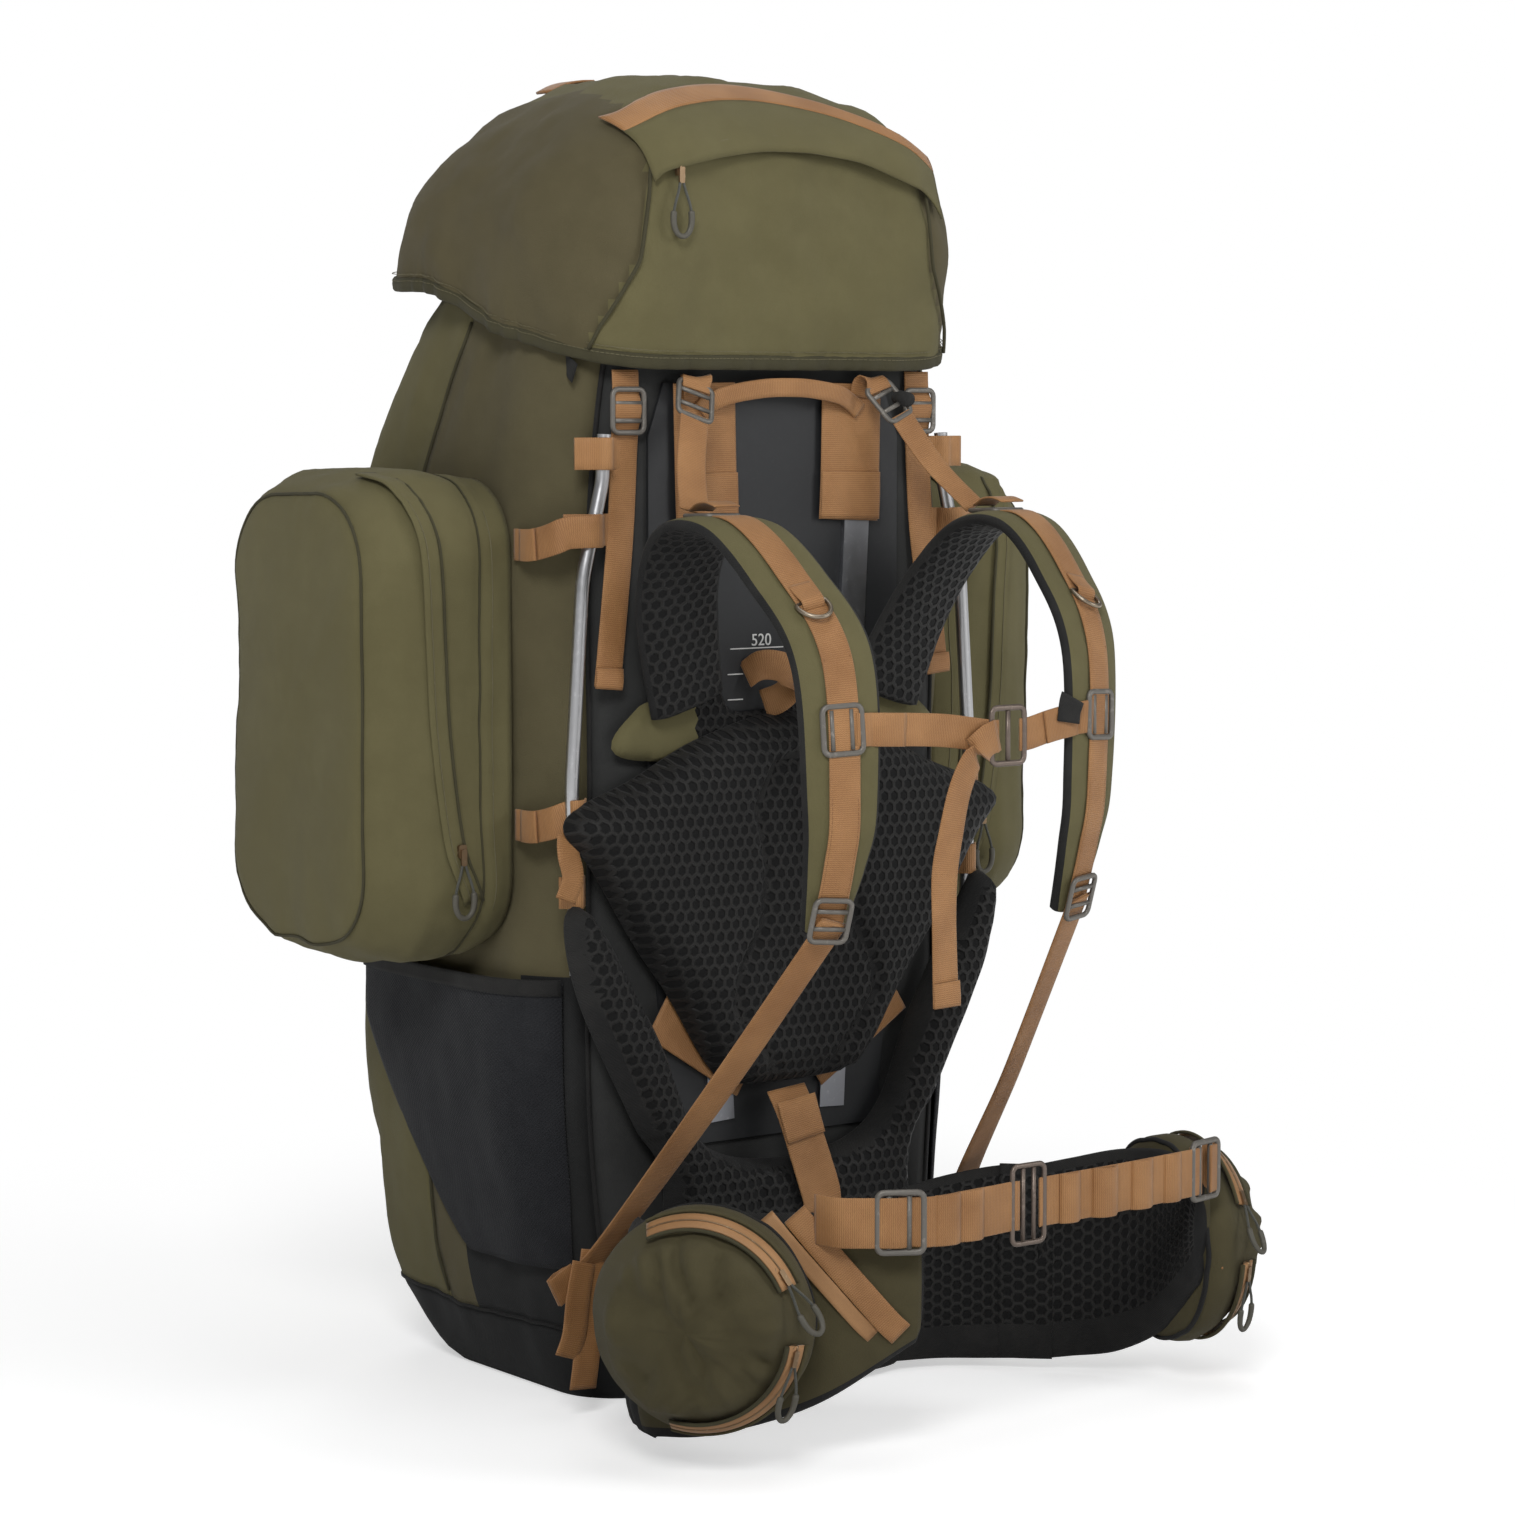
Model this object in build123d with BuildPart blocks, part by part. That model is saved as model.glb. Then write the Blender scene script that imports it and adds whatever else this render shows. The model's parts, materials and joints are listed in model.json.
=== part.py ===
"""Large external-frame hunting backpack.

Frame: +Z up, +X to the wearer's left hand side as drawn, the wearer's side at -Y and
the front of the load at +Y.  The origin is the middle of the flat base, on the ground.
All lengths are in millimetres.
"""

from build123d import *
from math import asin, cos, degrees, pi, radians, sin, tan
import os

os.makedirs("parts", exist_ok=True)

# ---------------------------------------------------------------- driving sizes

bag_half_width = 212.0      # half the bag's width at the belly
bag_back = -145.0           # plane of the bag's back panel
bag_front = 192.0           # front of the belly
bag_top = 880.0             # upper edge of the four sewn walls
base_seam = 60.0            # height of the seam round the base panel
fabric = 3.0                # wall of a sewn fabric shell
seam_inset = 60.0           # how far the side panels reach round from front and back
corner_radius = 80.0

collar_height = 40.0
collar_inset = 12.0

web = 25.0                  # width of the harness webbing
web_thickness = 1.8
wide_web = 38.0             # width of the hip webbing
sleeve_web = 60.0           # width of the stay sleeves
clearance = 0.5             # air between soft pieces that rest on each other
slip = 2.8                  # air between a strap's end and what it hooks into

tube_diameter = 11.0
tube_wall = 1.2
stay_width = 25.0
stay_thickness = 3.0
board_thickness = 3.0
board_half_width = 125.0

lumbar_thickness = 38.0
hip_pad_thickness = 30.0
shoulder_pad_width = 68.0
shoulder_pad_thickness = 13.0
wing_thickness = 22.0
plastic = 4.0               # thickness of a ladder lock

side_pocket_depth = 126.0   # how far a side pocket stands out from the bag
side_pocket_low = 352.0
side_pocket_high = 745.0
side_pocket_rear = -92.0
side_pocket_front = 150.0

stretch_pocket_gap = 12.0
stretch_pocket_low = 110.0
stretch_pocket_high = 345.0

lid_low_rear = bag_top - 54        # rear edge of the lid's hem, at the hinge
lid_low_front = bag_top + 16
lid_floor_height = bag_top + collar_height + clearance

zip_arc_radius = 377.0      # the lid's zip runs round an arc of this radius
zip_arc_top = bag_top + 114
zip_arc_half_span = 113.0

pull_cord = 2.2             # diameter of the zip pulls' cord

sides = (("left", -1), ("right", 1))

# ---------------------------------------------------------------- worked-out planes

board_front = bag_back - board_thickness
stay_front = board_front - stay_thickness
tube_y = bag_back - clearance - tube_diameter / 2
tube_front = tube_y - tube_diameter / 2
pad_back = tube_front - clearance
lumbar_front = pad_back - lumbar_thickness
hip_pad_front = pad_back - hip_pad_thickness


# ---------------------------------------------------------------- shared shapes

def rounded_section(height, half_width, rear, front, radius):
    """A level rounded rectangle, as one station of a sewn bag."""
    middle = (rear + front) / 2
    with BuildSketch(Plane.XY.offset(height)) as section:
        with Locations((0, middle)):
            RectangleRounded(2 * half_width, front - rear, radius)
    return section.sketch


def sewn_volume(stations, grow=0.0):
    """A closed volume through level stations, grown or shrunk all round by grow."""
    sections = [rounded_section(height, half_width + grow, rear - grow, front + grow,
                                radius + grow)
                for height, half_width, rear, front, radius in stations]
    with BuildPart() as volume:
        loft(sections, ruled=True)
    return volume.part


def block(low, high):
    """A box between two corners, kept out of the current part."""
    size = [b - a for a, b in zip(low, high)]
    middle = [(a + b) / 2 for a, b in zip(low, high)]
    with BuildPart(mode=Mode.PRIVATE) as box:
        with Locations(tuple(middle)):
            Box(*size)
    return box.part


def directions(points):
    """The way the line runs at each of its points."""
    places = [Vector(*p) for p in points]
    last = len(places) - 1
    return [(places[min(i + 1, last)] - places[max(i - 1, 0)]).normalized()
            for i in range(last + 1)]


def band(points, across, widths, thickness):
    """A flat strap or pad through points.

    across is the direction of its width at each point, widths its width there.
    """
    with BuildPart() as strap:
        for point, way, side, width in zip(points, directions(points), across, widths):
            side = Vector(*side)
            side = (side - way * side.dot(way)).normalized()
            with BuildSketch(Plane(origin=point, x_dir=side, z_dir=way)):
                Rectangle(width, thickness)
        loft(ruled=True)
    return strap.part


def strap_along(points, across=(1, 0, 0), width=web, thickness=web_thickness):
    """A strap of one width whose flat side keeps one direction."""
    return band(points, [across] * len(points), [width] * len(points), thickness)


def lifted(points, across, distance):
    """The same line moved off its flat side by distance, on the outer face."""
    moved = []
    for point, way, side in zip(points, directions(points), across):
        outward = way.cross(Vector(*side)).normalized()
        moved.append(tuple(Vector(*point) + outward * distance))
    return moved


def mirrored(points, sign):
    return [(sign * x, y, z) for x, y, z in points]


def ladder_lock(plane, width=34.0, height=38.0, thickness=plastic):
    """A webbing buckle: a plate with two slots and three bars."""
    bar = 4.5
    slot_height = (height - 3 * bar) / 2
    with BuildPart() as lock:
        with BuildSketch(plane):
            RectangleRounded(width, height, 4)
            with GridLocations(1, slot_height + bar, 1, 2):
                RectangleRounded(width - 2 * bar, slot_height, 1.5, mode=Mode.SUBTRACT)
        extrude(amount=thickness / 2, both=True)
    return lock.part


def panel(outline, back, thickness):
    """A flat upright panel with its outline in X and Z."""
    with BuildPart() as slab:
        with BuildSketch(Plane.XZ.offset(-back)):
            with BuildLine():
                Polyline(*outline, close=True)
            make_face()
        extrude(amount=thickness)
    return slab.part


# ---------------------------------------------------------------- bag body

bag_stations = [
    (0, bag_half_width - 47, bag_back + 15, bag_front - 72, corner_radius - 25),
    (45, bag_half_width - 26, bag_back + 2, bag_front - 26, corner_radius - 10),
    (190, bag_half_width - 2, bag_back, bag_front - 2, corner_radius),
    (500, bag_half_width, bag_back, bag_front, corner_radius),
    (750, bag_half_width - 4, bag_back, bag_front - 8, corner_radius),
    (bag_top - 56, bag_half_width - 14, bag_back, bag_front - 42, corner_radius),
    (bag_top, bag_half_width - 26, bag_back, bag_front - 78, corner_radius),
]

bag_outer = sewn_volume(bag_stations)
inner_stations = [(max(height, fabric), half_width, rear, front, radius)
                  for height, half_width, rear, front, radius in bag_stations]
inner_stations[-1] = (bag_top + 1,) + inner_stations[-1][1:]
bag_inner = sewn_volume(inner_stations, -fabric)

seam_front = bag_front - seam_inset - corner_radius
seam_rear = bag_back + 10
far = 600.0

with BuildPart() as bag_back_panel:
    add(bag_outer)
    add(bag_inner, mode=Mode.SUBTRACT)
    add(block((-far, -far, base_seam), (far, seam_rear, far * 2)), mode=Mode.INTERSECT)
bag_back_panel.part.label = "bag_back_panel"
export_step(bag_back_panel.part, "parts/bag_back_panel.step")

with BuildPart() as bag_front_panel:
    add(bag_outer)
    add(bag_inner, mode=Mode.SUBTRACT)
    add(block((-far, seam_front, base_seam), (far, far, far * 2)), mode=Mode.INTERSECT)
bag_front_panel.part.label = "bag_front_panel"
export_step(bag_front_panel.part, "parts/bag_front_panel.step")

with BuildPart() as bag_side_panels:
    add(bag_outer)
    add(bag_inner, mode=Mode.SUBTRACT)
    add(block((-far, seam_rear, base_seam), (far, seam_front, far * 2)), mode=Mode.INTERSECT)
bag_side_panels.part.label = "bag_side_panels"
export_step(bag_side_panels.part, "parts/bag_side_panels.step")

with BuildPart() as bag_base_panel:
    add(bag_outer)
    add(bag_inner, mode=Mode.SUBTRACT)
    add(block((-far, -far, -1), (far, far, base_seam)), mode=Mode.INTERSECT)
bag_base_panel.part.label = "bag_base_panel"
export_step(bag_base_panel.part, "parts/bag_base_panel.step")

collar_foot = bag_stations[-1]
collar_rim = (bag_top + collar_height, collar_foot[1] - collar_inset,
              collar_foot[2] + collar_inset, collar_foot[3] - collar_inset,
              corner_radius - collar_inset)
with BuildPart() as bag_collar:
    add(sewn_volume([collar_foot, collar_rim]))
    add(sewn_volume([collar_foot, collar_rim], -fabric), mode=Mode.SUBTRACT)
bag_collar.part.label = "bag_collar"
export_step(bag_collar.part, "parts/bag_collar.step")

# open-topped stretch pockets low on each side
pocket_wall = 2.0
pocket_rear = bag_back + 22
pocket_front = bag_front - 62
pouch_seam = 4.0
with BuildPart() as stretch_pockets:
    add(sewn_volume(bag_stations, stretch_pocket_gap + pocket_wall))
    add(block((-far, pocket_rear, stretch_pocket_low), (far, pocket_front, stretch_pocket_high)),
        mode=Mode.INTERSECT)
    pouch_room = sewn_volume(bag_stations, stretch_pocket_gap)
    add(pouch_room & block((-far, pocket_rear + pouch_seam, stretch_pocket_low + pouch_seam),
                           (far, pocket_front - pouch_seam, stretch_pocket_high + 10)),
        mode=Mode.SUBTRACT)
    add(sewn_volume(bag_stations, clearance), mode=Mode.SUBTRACT)
stretch_pockets.part.label = "stretch_pockets"
export_step(stretch_pockets.part, "parts/stretch_pockets.step")

# ---------------------------------------------------------------- back system

board_outline = [
    (-board_half_width + 20, 205), (board_half_width - 20, 205), (board_half_width, 420),
    (board_half_width, 770), (board_half_width - 15, 812), (-board_half_width + 15, 812),
    (-board_half_width, 770), (-board_half_width, 420),
]
back_board = panel(board_outline, bag_back, board_thickness)
back_board.label = "back_board"
export_step(back_board, "parts/back_board.step")

# light alloy side tubes, bent out from the shoulders to the waist
tube_top = 772.0
tube_low = 352.0
tube_line = [
    (bag_half_width - 43, tube_y, tube_top), (bag_half_width - 41, tube_y, 735),
    (bag_half_width - 22, tube_y, 660), (bag_half_width - 11, tube_y, 500),
    (bag_half_width - 15, tube_y, tube_low),
]
tube_bends = [60, 120, 300]
with BuildPart() as frame_tubes:
    for side, sign in sides:
        run = mirrored(tube_line, sign)
        with BuildLine() as route:
            FilletPolyline(*run, radius=tube_bends)
        start = Vector(*run[0])
        way = (Vector(*run[1]) - start).normalized()
        with BuildSketch(Plane(origin=start, x_dir=(0, 1, 0), z_dir=way)):
            Circle(tube_diameter / 2)
            Circle(tube_diameter / 2 - tube_wall, mode=Mode.SUBTRACT)
        sweep(path=route.line)
frame_tubes.part.label = "frame_tubes"
export_step(frame_tubes.part, "parts/frame_tubes.step")

# flat stays, leaning in towards the waist, in webbing sleeves at the top
stay_top_x = 86.0
stay_low_x = 56.0
stay_y = (board_front + stay_front) / 2
stay_low = 222.0
stay_high = 800.0
with BuildPart() as frame_stays:
    for side, sign in sides:
        add(strap_along([(sign * stay_low_x, stay_y, stay_low),
                         (sign * stay_top_x, stay_y, stay_high)],
                        (1, 0, 0), stay_width, stay_thickness))
frame_stays.part.label = "frame_stays"
export_step(frame_stays.part, "parts/frame_stays.step")

sleeve_x = 74.0
sleeve_low = 701.0
sleeve_high = 812.0
sleeve_y = stay_front - web_thickness / 2 - 0.2
lifter_x = 97.0             # ladder lock that anchors the load lifter
lifter_y = -172.0
lifter_height = 798.0
lifter_way = Vector(0.40, -0.50, -0.76).normalized()
lock_height = 38.0
with BuildPart() as stay_sleeves:
    for side, sign in sides:
        add(strap_along([(sign * (sleeve_x - 2), sleeve_y, sleeve_low),
                         (sign * sleeve_x, sleeve_y, sleeve_high)], width=sleeve_web))
        # a short tab carries the load lifter's lock
        tab_end = Vector(lifter_x, lifter_y, lifter_height) - lifter_way * (
            lock_height / 2 + clearance)
        tab = [(sleeve_x + 9, sleeve_y - web_thickness - clearance, sleeve_high - 6),
               (sleeve_x + 11, sleeve_y - web_thickness - 2, sleeve_high + 3), tuple(tab_end)]
        add(strap_along(mirrored(tab, sign)))
stay_sleeves.part.label = "stay_sleeves"
export_step(stay_sleeves.part, "parts/stay_sleeves.step")


def tube_x(height):
    """How far out the tube's middle is at a height."""
    for (x0, _, z0), (x1, _, z1) in zip(tube_line, tube_line[1:]):
        if z1 <= height <= z0:
            return x0 + (x1 - x0) * (z0 - height) / (z0 - z1)
    return tube_line[-1][0]


# webbing loops that tie each tube to the bag, and the side pockets' straps to the tubes
loop_air = 0.6
loop_wall = 1.8
loop_heights = (757.0, 698.0, 417.0)
pocket_strap_heights = (690.0, 470.0)
pocket_wall_x = bag_half_width + clearance
with BuildPart() as frame_loops:
    for side, sign in sides:
        for height in loop_heights:
            above, below = tube_x(height + 4), tube_x(height - 4)
            middle = (sign * (above + below) / 2, tube_y, height)
            run = Vector(sign * (above - below), 0, 8).normalized()
            reach = tube_diameter / 2 + loop_air
            with BuildSketch(Plane(origin=middle, x_dir=(0, 1, 0), z_dir=run)):
                RectangleRounded(2 * (reach + loop_wall), 2 * (reach + loop_wall), 5)
                RectangleRounded(2 * reach, 2 * reach, 4, mode=Mode.SUBTRACT)
            extrude(amount=web / 2, both=True)
    add(block((-far, bag_back - clearance, 0), (far, far, far * 2)), mode=Mode.SUBTRACT)
    for side, sign in sides:
        for height in pocket_strap_heights:
            line = [(pocket_wall_x + 1.2, side_pocket_rear + 4 - clearance, height - 4),
                    (pocket_wall_x + 1.2, bag_back + 20, height - 4),
                    (pocket_wall_x - 3, tube_y, height + 6)]
            add(strap_along(mirrored(line, sign), (0, 0, 1)))
frame_loops.part.label = "frame_loops"
export_step(frame_loops.part, "parts/frame_loops.step")

# straps that hold the lid: two down the back with hanging tails, two up the front
adjuster_x = 158.5 - web / 2
adjuster_y = bag_back - clearance - web_thickness / 2
adjuster_height = 790.0
tail_end = 574.0
front_strap_x = 128.0
front_lock_height = bag_top - 38


def front_wall(height):
    """Y of the bag's front face at a height."""
    for low, high in zip(bag_stations, bag_stations[1:]):
        if low[0] <= height <= high[0]:
            share = (height - low[0]) / (high[0] - low[0])
            return low[3] + (high[3] - low[3]) * share
    return bag_stations[-1][3]


with BuildPart() as lid_straps:
    for side, sign in sides:
        back_line = [(adjuster_x, adjuster_y, lid_low_rear - slip),
                     (adjuster_x, adjuster_y, adjuster_height - 25),
                     (adjuster_x + 20, adjuster_y, tail_end)]
        add(strap_along(mirrored(back_line, sign)))
        heights = (front_lock_height - 6, bag_top - 56, 750, 640)
        front_line = [(front_strap_x, front_wall(z) + clearance + web_thickness / 2, z)
                      for z in heights]
        add(strap_along(mirrored(front_line, sign)))
lid_straps.part.label = "lid_straps"
export_step(lid_straps.part, "parts/lid_straps.step")

hook_width = 34.0
hook_height = 40.0
front_hook_lean = 32.0
with BuildPart() as front_hooks:
    for side, sign in sides:
        middle = (sign * front_strap_x, front_wall(front_lock_height) + 5, front_lock_height)
        lean = radians(front_hook_lean)
        add(ladder_lock(Plane(origin=middle, x_dir=(1, 0, 0),
                              z_dir=(0, cos(lean), sin(lean))), hook_width, hook_height, 3))
front_hooks.part.label = "front_hooks"
export_step(front_hooks.part, "parts/front_hooks.step")

# ladder locks sewn to the back: the lid's adjusters and the load lifters' anchors
with BuildPart() as back_ladder_locks:
    for side, sign in sides:
        lock_y = adjuster_y - web_thickness / 2 - clearance - plastic / 2
        add(ladder_lock(Plane(origin=(sign * adjuster_x, lock_y, adjuster_height),
                              x_dir=(1, 0, 0), z_dir=(0, -1, 0))))
        across = Vector(1, 0, 0)
        way = Vector(sign * lifter_way.X, lifter_way.Y, lifter_way.Z)
        across = (across - way * across.dot(way)).normalized()
        add(ladder_lock(Plane(origin=(sign * lifter_x, lifter_y, lifter_height),
                              x_dir=across, z_dir=across.cross(way))))
back_ladder_locks.part.label = "back_ladder_locks"
export_step(back_ladder_locks.part, "parts/back_ladder_locks.step")

haul_half_span = 72.0
haul_y = -163.0
haul_width = 15.0
with BuildPart() as haul_loop:
    line = [(-haul_half_span, sleeve_y - 3.2, 796), (-haul_half_span + 18, haul_y + 2, 803),
            (-25, haul_y, 807), (25, haul_y, 807), (haul_half_span - 18, haul_y + 2, 803),
            (haul_half_span, sleeve_y - 3.2, 796)]
    add(strap_along(line, (0, 0, 1), haul_width, 2.5))
haul_loop.part.label = "haul_loop"
export_step(haul_loop.part, "parts/haul_loop.step")

# yoke that carries the shoulder straps on the board
yoke_outline = [(-142, 517), (142, 517), (140, 557), (60, 565), (30, 590), (-30, 590),
                (-60, 565), (-140, 557)]
yoke_thickness = 5.0
yoke_front = stay_front - clearance - yoke_thickness
harness_yoke = panel(yoke_outline, stay_front - clearance, yoke_thickness)
harness_yoke.label = "harness_yoke"
export_step(harness_yoke, "parts/harness_yoke.step")

# padded shield for the small of the back, resting on the two tubes
lumbar_outline = [
    (0, 550), (85, 532), (150, 503), (bag_half_width - 7, 482), (bag_half_width, 466),
    (bag_half_width - 24, 434), (150, 375),
    (116, 330), (75, 268), (45, 252), (-45, 252), (-75, 268), (-116, 330), (-150, 375),
    (24 - bag_half_width, 434), (-bag_half_width, 466), (7 - bag_half_width, 482),
    (-150, 503), (-85, 532),
]
lumbar_back = min(pad_back, stay_front - clearance - yoke_thickness - clearance)
with BuildPart() as lumbar_pad:
    add(panel(lumbar_outline, lumbar_back, lumbar_thickness))
    chamfer(lumbar_pad.faces().sort_by(Axis.Y)[0].edges(), 9)
lumbar_pad.part.label = "lumbar_pad"
export_step(lumbar_pad.part, "parts/lumbar_pad.step")

# U-shaped back pad with the roots of the two hip wings
hinge_left = (-200.0, -243.0)
hinge_right = (190.0, -240.0)
wing_root_low = 8.0
wing_root_high = 172.0
hip_outline = [
    (-118, wing_root_low), (118, wing_root_low), (120, 175), (150, 232),
    (bag_half_width - 12, 330), (bag_half_width, 394), (bag_half_width - 16, 402),
    (162, 352), (126, 288), (98, 224), (60, 196), (0, 188),
    (-60, 196), (-98, 224), (-126, 288), (-162, 352), (16 - bag_half_width, 402),
    (-bag_half_width, 394), (12 - bag_half_width, 330), (-150, 232), (-120, 175),
]
wing_gap = 1.0


def wing_band(plan, ways, lows, highs, thickness):
    """An upright padded band that follows a line drawn in plan, cut square to ways."""
    points = [(x, y, (low + high) / 2) for (x, y), low, high in zip(plan, lows, highs)]
    with BuildPart() as pad:
        for point, way, low, high in zip(points, ways, lows, highs):
            with BuildSketch(Plane(origin=point, x_dir=(0, 0, 1), z_dir=way)):
                Rectangle(high - low, thickness)
        loft(ruled=True)
    return pad.part


root_y = hip_pad_front + 9
wing_lines = {
    "left": [(-100, root_y - 4), (-150, root_y - 18), (-186, root_y - 38), hinge_left,
             (-205, -272), (-184, -318), (-130, -372), (-68, -412)],
    "right": [(100, root_y - 2), (135, root_y - 14), (165, root_y - 36), hinge_right,
              (217, -265), (240, -300), (250, -345), (236, -396)],
}
wing_lows = [wing_root_low] * 3 + [wing_root_low + 1, 12, 20, 46, 92]
wing_highs = [150, 160, 168, wing_root_high, 178, 188, 192, 186]
wing_ways = {side: directions([(x, y, 0) for x, y in line])
             for side, line in wing_lines.items()}
with BuildPart() as hip_pad_back:
    add(panel(hip_outline, pad_back, hip_pad_thickness))
    for side, sign in sides:
        add(wing_band(wing_lines[side][:4], wing_ways[side][:4], wing_lows[:4],
                      wing_highs[:4], wing_thickness))
hip_pad_back.part.label = "hip_pad_back"
export_step(hip_pad_back.part, "parts/hip_pad_back.step")

# straps between the board, the lumbar pad and the belt, and the lower anchors
center_strap_y = hip_pad_front - clearance - web_thickness / 2
anchor_x = bag_half_width - 24
anchor_height = 100.0
anchor_y = -152.0
anchor_tab = 42.0
with BuildPart() as belt_anchor_straps:
    drop = [(-8, lumbar_back - 12, 250 - slip), (-2, center_strap_y - 1, 206),
            (14, center_strap_y, 160)]
    add(strap_along(drop, width=wide_web))
    for side, sign in sides:
        diagonal = [(118, stay_front - clearance - 1, 318), (30, stay_front - clearance - 1, 262)]
        add(strap_along(mirrored(diagonal, sign), (0.54, 0, -0.84 * sign), 50))
        # a folded tab sewn round the bag's corner, with two tails hanging in front of it
        tab = [(anchor_x - 28, anchor_y + 15.6, anchor_height),
               (anchor_x - 15, anchor_y + 5, anchor_height),
               (anchor_x + 14, anchor_y, anchor_height)]
        add(strap_along(mirrored(tab, sign), (0, 0, 1), anchor_tab))
        tail_y = anchor_y - web_thickness - clearance
        tail = [(anchor_x, tail_y, anchor_height + 34), (anchor_x, tail_y, anchor_height - 22),
                (anchor_x + 6, tail_y + 1, anchor_height - 78)]
        add(strap_along(mirrored(tail, sign)))
belt_anchor_straps.part.label = "belt_anchor_straps"
export_step(belt_anchor_straps.part, "parts/belt_anchor_straps.step")

# ---------------------------------------------------------------- side pockets

side_pocket_out = pocket_wall_x + side_pocket_depth


def pocket_volume(sign, shrink):
    """The space of a side pocket, drawn in by shrink all round."""
    rims = [
        (pocket_wall_x + shrink, side_pocket_rear + 4, side_pocket_front - 6,
         side_pocket_low + 12, side_pocket_high - 6, 62),
        (side_pocket_out - 48, side_pocket_rear, side_pocket_front,
         side_pocket_low, side_pocket_high, 74),
        (side_pocket_out - shrink, side_pocket_rear + 26, side_pocket_front - 18,
         side_pocket_low + 14, side_pocket_high - 16, 66),
    ]
    with BuildPart() as volume:
        for distance, rear, front, low, high, radius in rims:
            middle = (sign * distance, (rear + front) / 2, (low + high) / 2)
            with BuildSketch(Plane(origin=middle, x_dir=(0, 1, 0), z_dir=(1, 0, 0))):
                RectangleRounded(front - rear - 2 * shrink, high - low - 2 * shrink,
                                 radius - shrink)
        loft(ruled=True)
    return volume.part


side_zip_x = pocket_wall_x + 52
side_zip_low = side_pocket_low + 96
slider_air = 0.4
for side, sign in sides:
    with BuildPart() as side_pocket:
        add(pocket_volume(sign, 0))
        add(pocket_volume(sign, fabric), mode=Mode.SUBTRACT)
    side_pocket.part.label = f"side_pocket_{side}"
    export_step(side_pocket.part, f"parts/side_pocket_{side}.step")


# ---------------------------------------------------------------- zip sliders and pulls

slider_width = 7.0
slider_length = 11.0
slider_thickness = 3.5
tab_length = 9.0
tab_thickness = 2.0


def zip_slider(plane):
    """A slider body on the plane's XY with its pull tab hanging along -Y."""
    with BuildPart() as slider:
        with BuildSketch(plane):
            RectangleRounded(slider_width, slider_length, 2)
        extrude(amount=slider_thickness)
        with BuildSketch(plane.offset(slider_thickness)):
            with Locations((0, -tab_length / 2)):
                RectangleRounded(5, tab_length + 4, 1.5)
        extrude(amount=tab_thickness)
    return slider.part


# one hanging loop of cord below a tab: sideways, down, outward
pull_route = [
    (-1.6, 0, 0), (-3.4, 7, 0.6), (-7.2, 16, 1.2), (-9.2, 26, 1.2), (-8.0, 35, 1.0),
    (-3.2, 41, 0.8), (3.6, 41, 0.6), (8.2, 35, 0.6), (9.2, 25.5, 0.8), (7.0, 15.5, 1.0),
    (3.4, 6.6, 0.5), (1.6, 0, 0),
]


def corner_radii(points):
    """The largest bend that two runs leave room for, at each inner point."""
    radii = []
    places = [Vector(*p) for p in points]
    for before, here, after in zip(places, places[1:], places[2:]):
        turn = (here - before).get_angle(after - here)
        shorter = min((here - before).length, (after - here).length)
        radii.append(0.45 * shorter / tan(radians(turn) / 2))
    return radii


def pull_loop(plane):
    """The cord of one zip pull, hanging from the end of its tab."""
    tab_end = tab_length + 2
    out = slider_thickness + tab_thickness / 2
    local = [(across, -tab_end - down, out + off) for across, down, off in pull_route]
    points = [plane.from_local_coords(p) for p in local]
    radii = corner_radii(points)
    with BuildPart() as cord:
        with BuildLine() as route:
            FilletPolyline(*points, radius=radii)
        way = (Vector(*points[1]) - Vector(*points[0])).normalized()
        with BuildSketch(Plane(origin=points[0], z_dir=way)):
            Circle(pull_cord / 2)
        sweep(path=route.line)
    length = sum(edge.length for edge in route.line.edges())
    expected = length * pi * pull_cord ** 2 / 4
    print(f"pull cord: length {length:.1f}, volume {cord.part.volume:.1f} of "
          f"{expected:.1f}, least radius {min(radii):.1f}")
    return cord.part


def write_zip(name, plane):
    """A slider and its cord, each as a node of its own."""
    slider = zip_slider(plane)
    slider.label = f"{name}_slider"
    export_step(slider, f"parts/{name}_slider.step")
    cord = pull_loop(plane)
    cord.label = f"{name}_pull_cord"
    export_step(cord, f"parts/{name}_pull_cord.step")


for side, sign in sides:
    slope = 4 / (side_pocket_depth - 48)
    wall_y = side_pocket_rear + 4 - slope * (side_zip_x - pocket_wall_x)
    write_zip(f"side_zip_{side}",
              Plane(origin=(sign * side_zip_x, wall_y - slider_air, side_zip_low),
                    x_dir=(1, 0, 0), z_dir=(0, -1, 0)))

# ---------------------------------------------------------------- lid

lid_rear_face = -172.0
lid_seam_height = bag_top + 45
lid_shoulder = bag_top + 85
lid_stations = [
    (lid_low_rear - 2, bag_half_width - 14, -166, 142, 78),
    (bag_top - 10, bag_half_width - 6, -170, 153, 86),
    (lid_seam_height, bag_half_width - 5, lid_rear_face, 150, 88),
    (lid_shoulder, bag_half_width - 12, lid_rear_face, 136, 88),
    (bag_top + 120, bag_half_width - 36, lid_rear_face + 3, 112, 80),
    (bag_top + 156, bag_half_width - 82, -128, 88, 62),
    (bag_top + 178, bag_half_width - 122, -84, 62, 44),
]
hem = Plane(origin=(0, lid_stations[0][2], lid_low_rear), x_dir=(1, 0, 0),
            z_dir=Vector(0, -(lid_low_front - lid_low_rear), 310).normalized())
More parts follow.
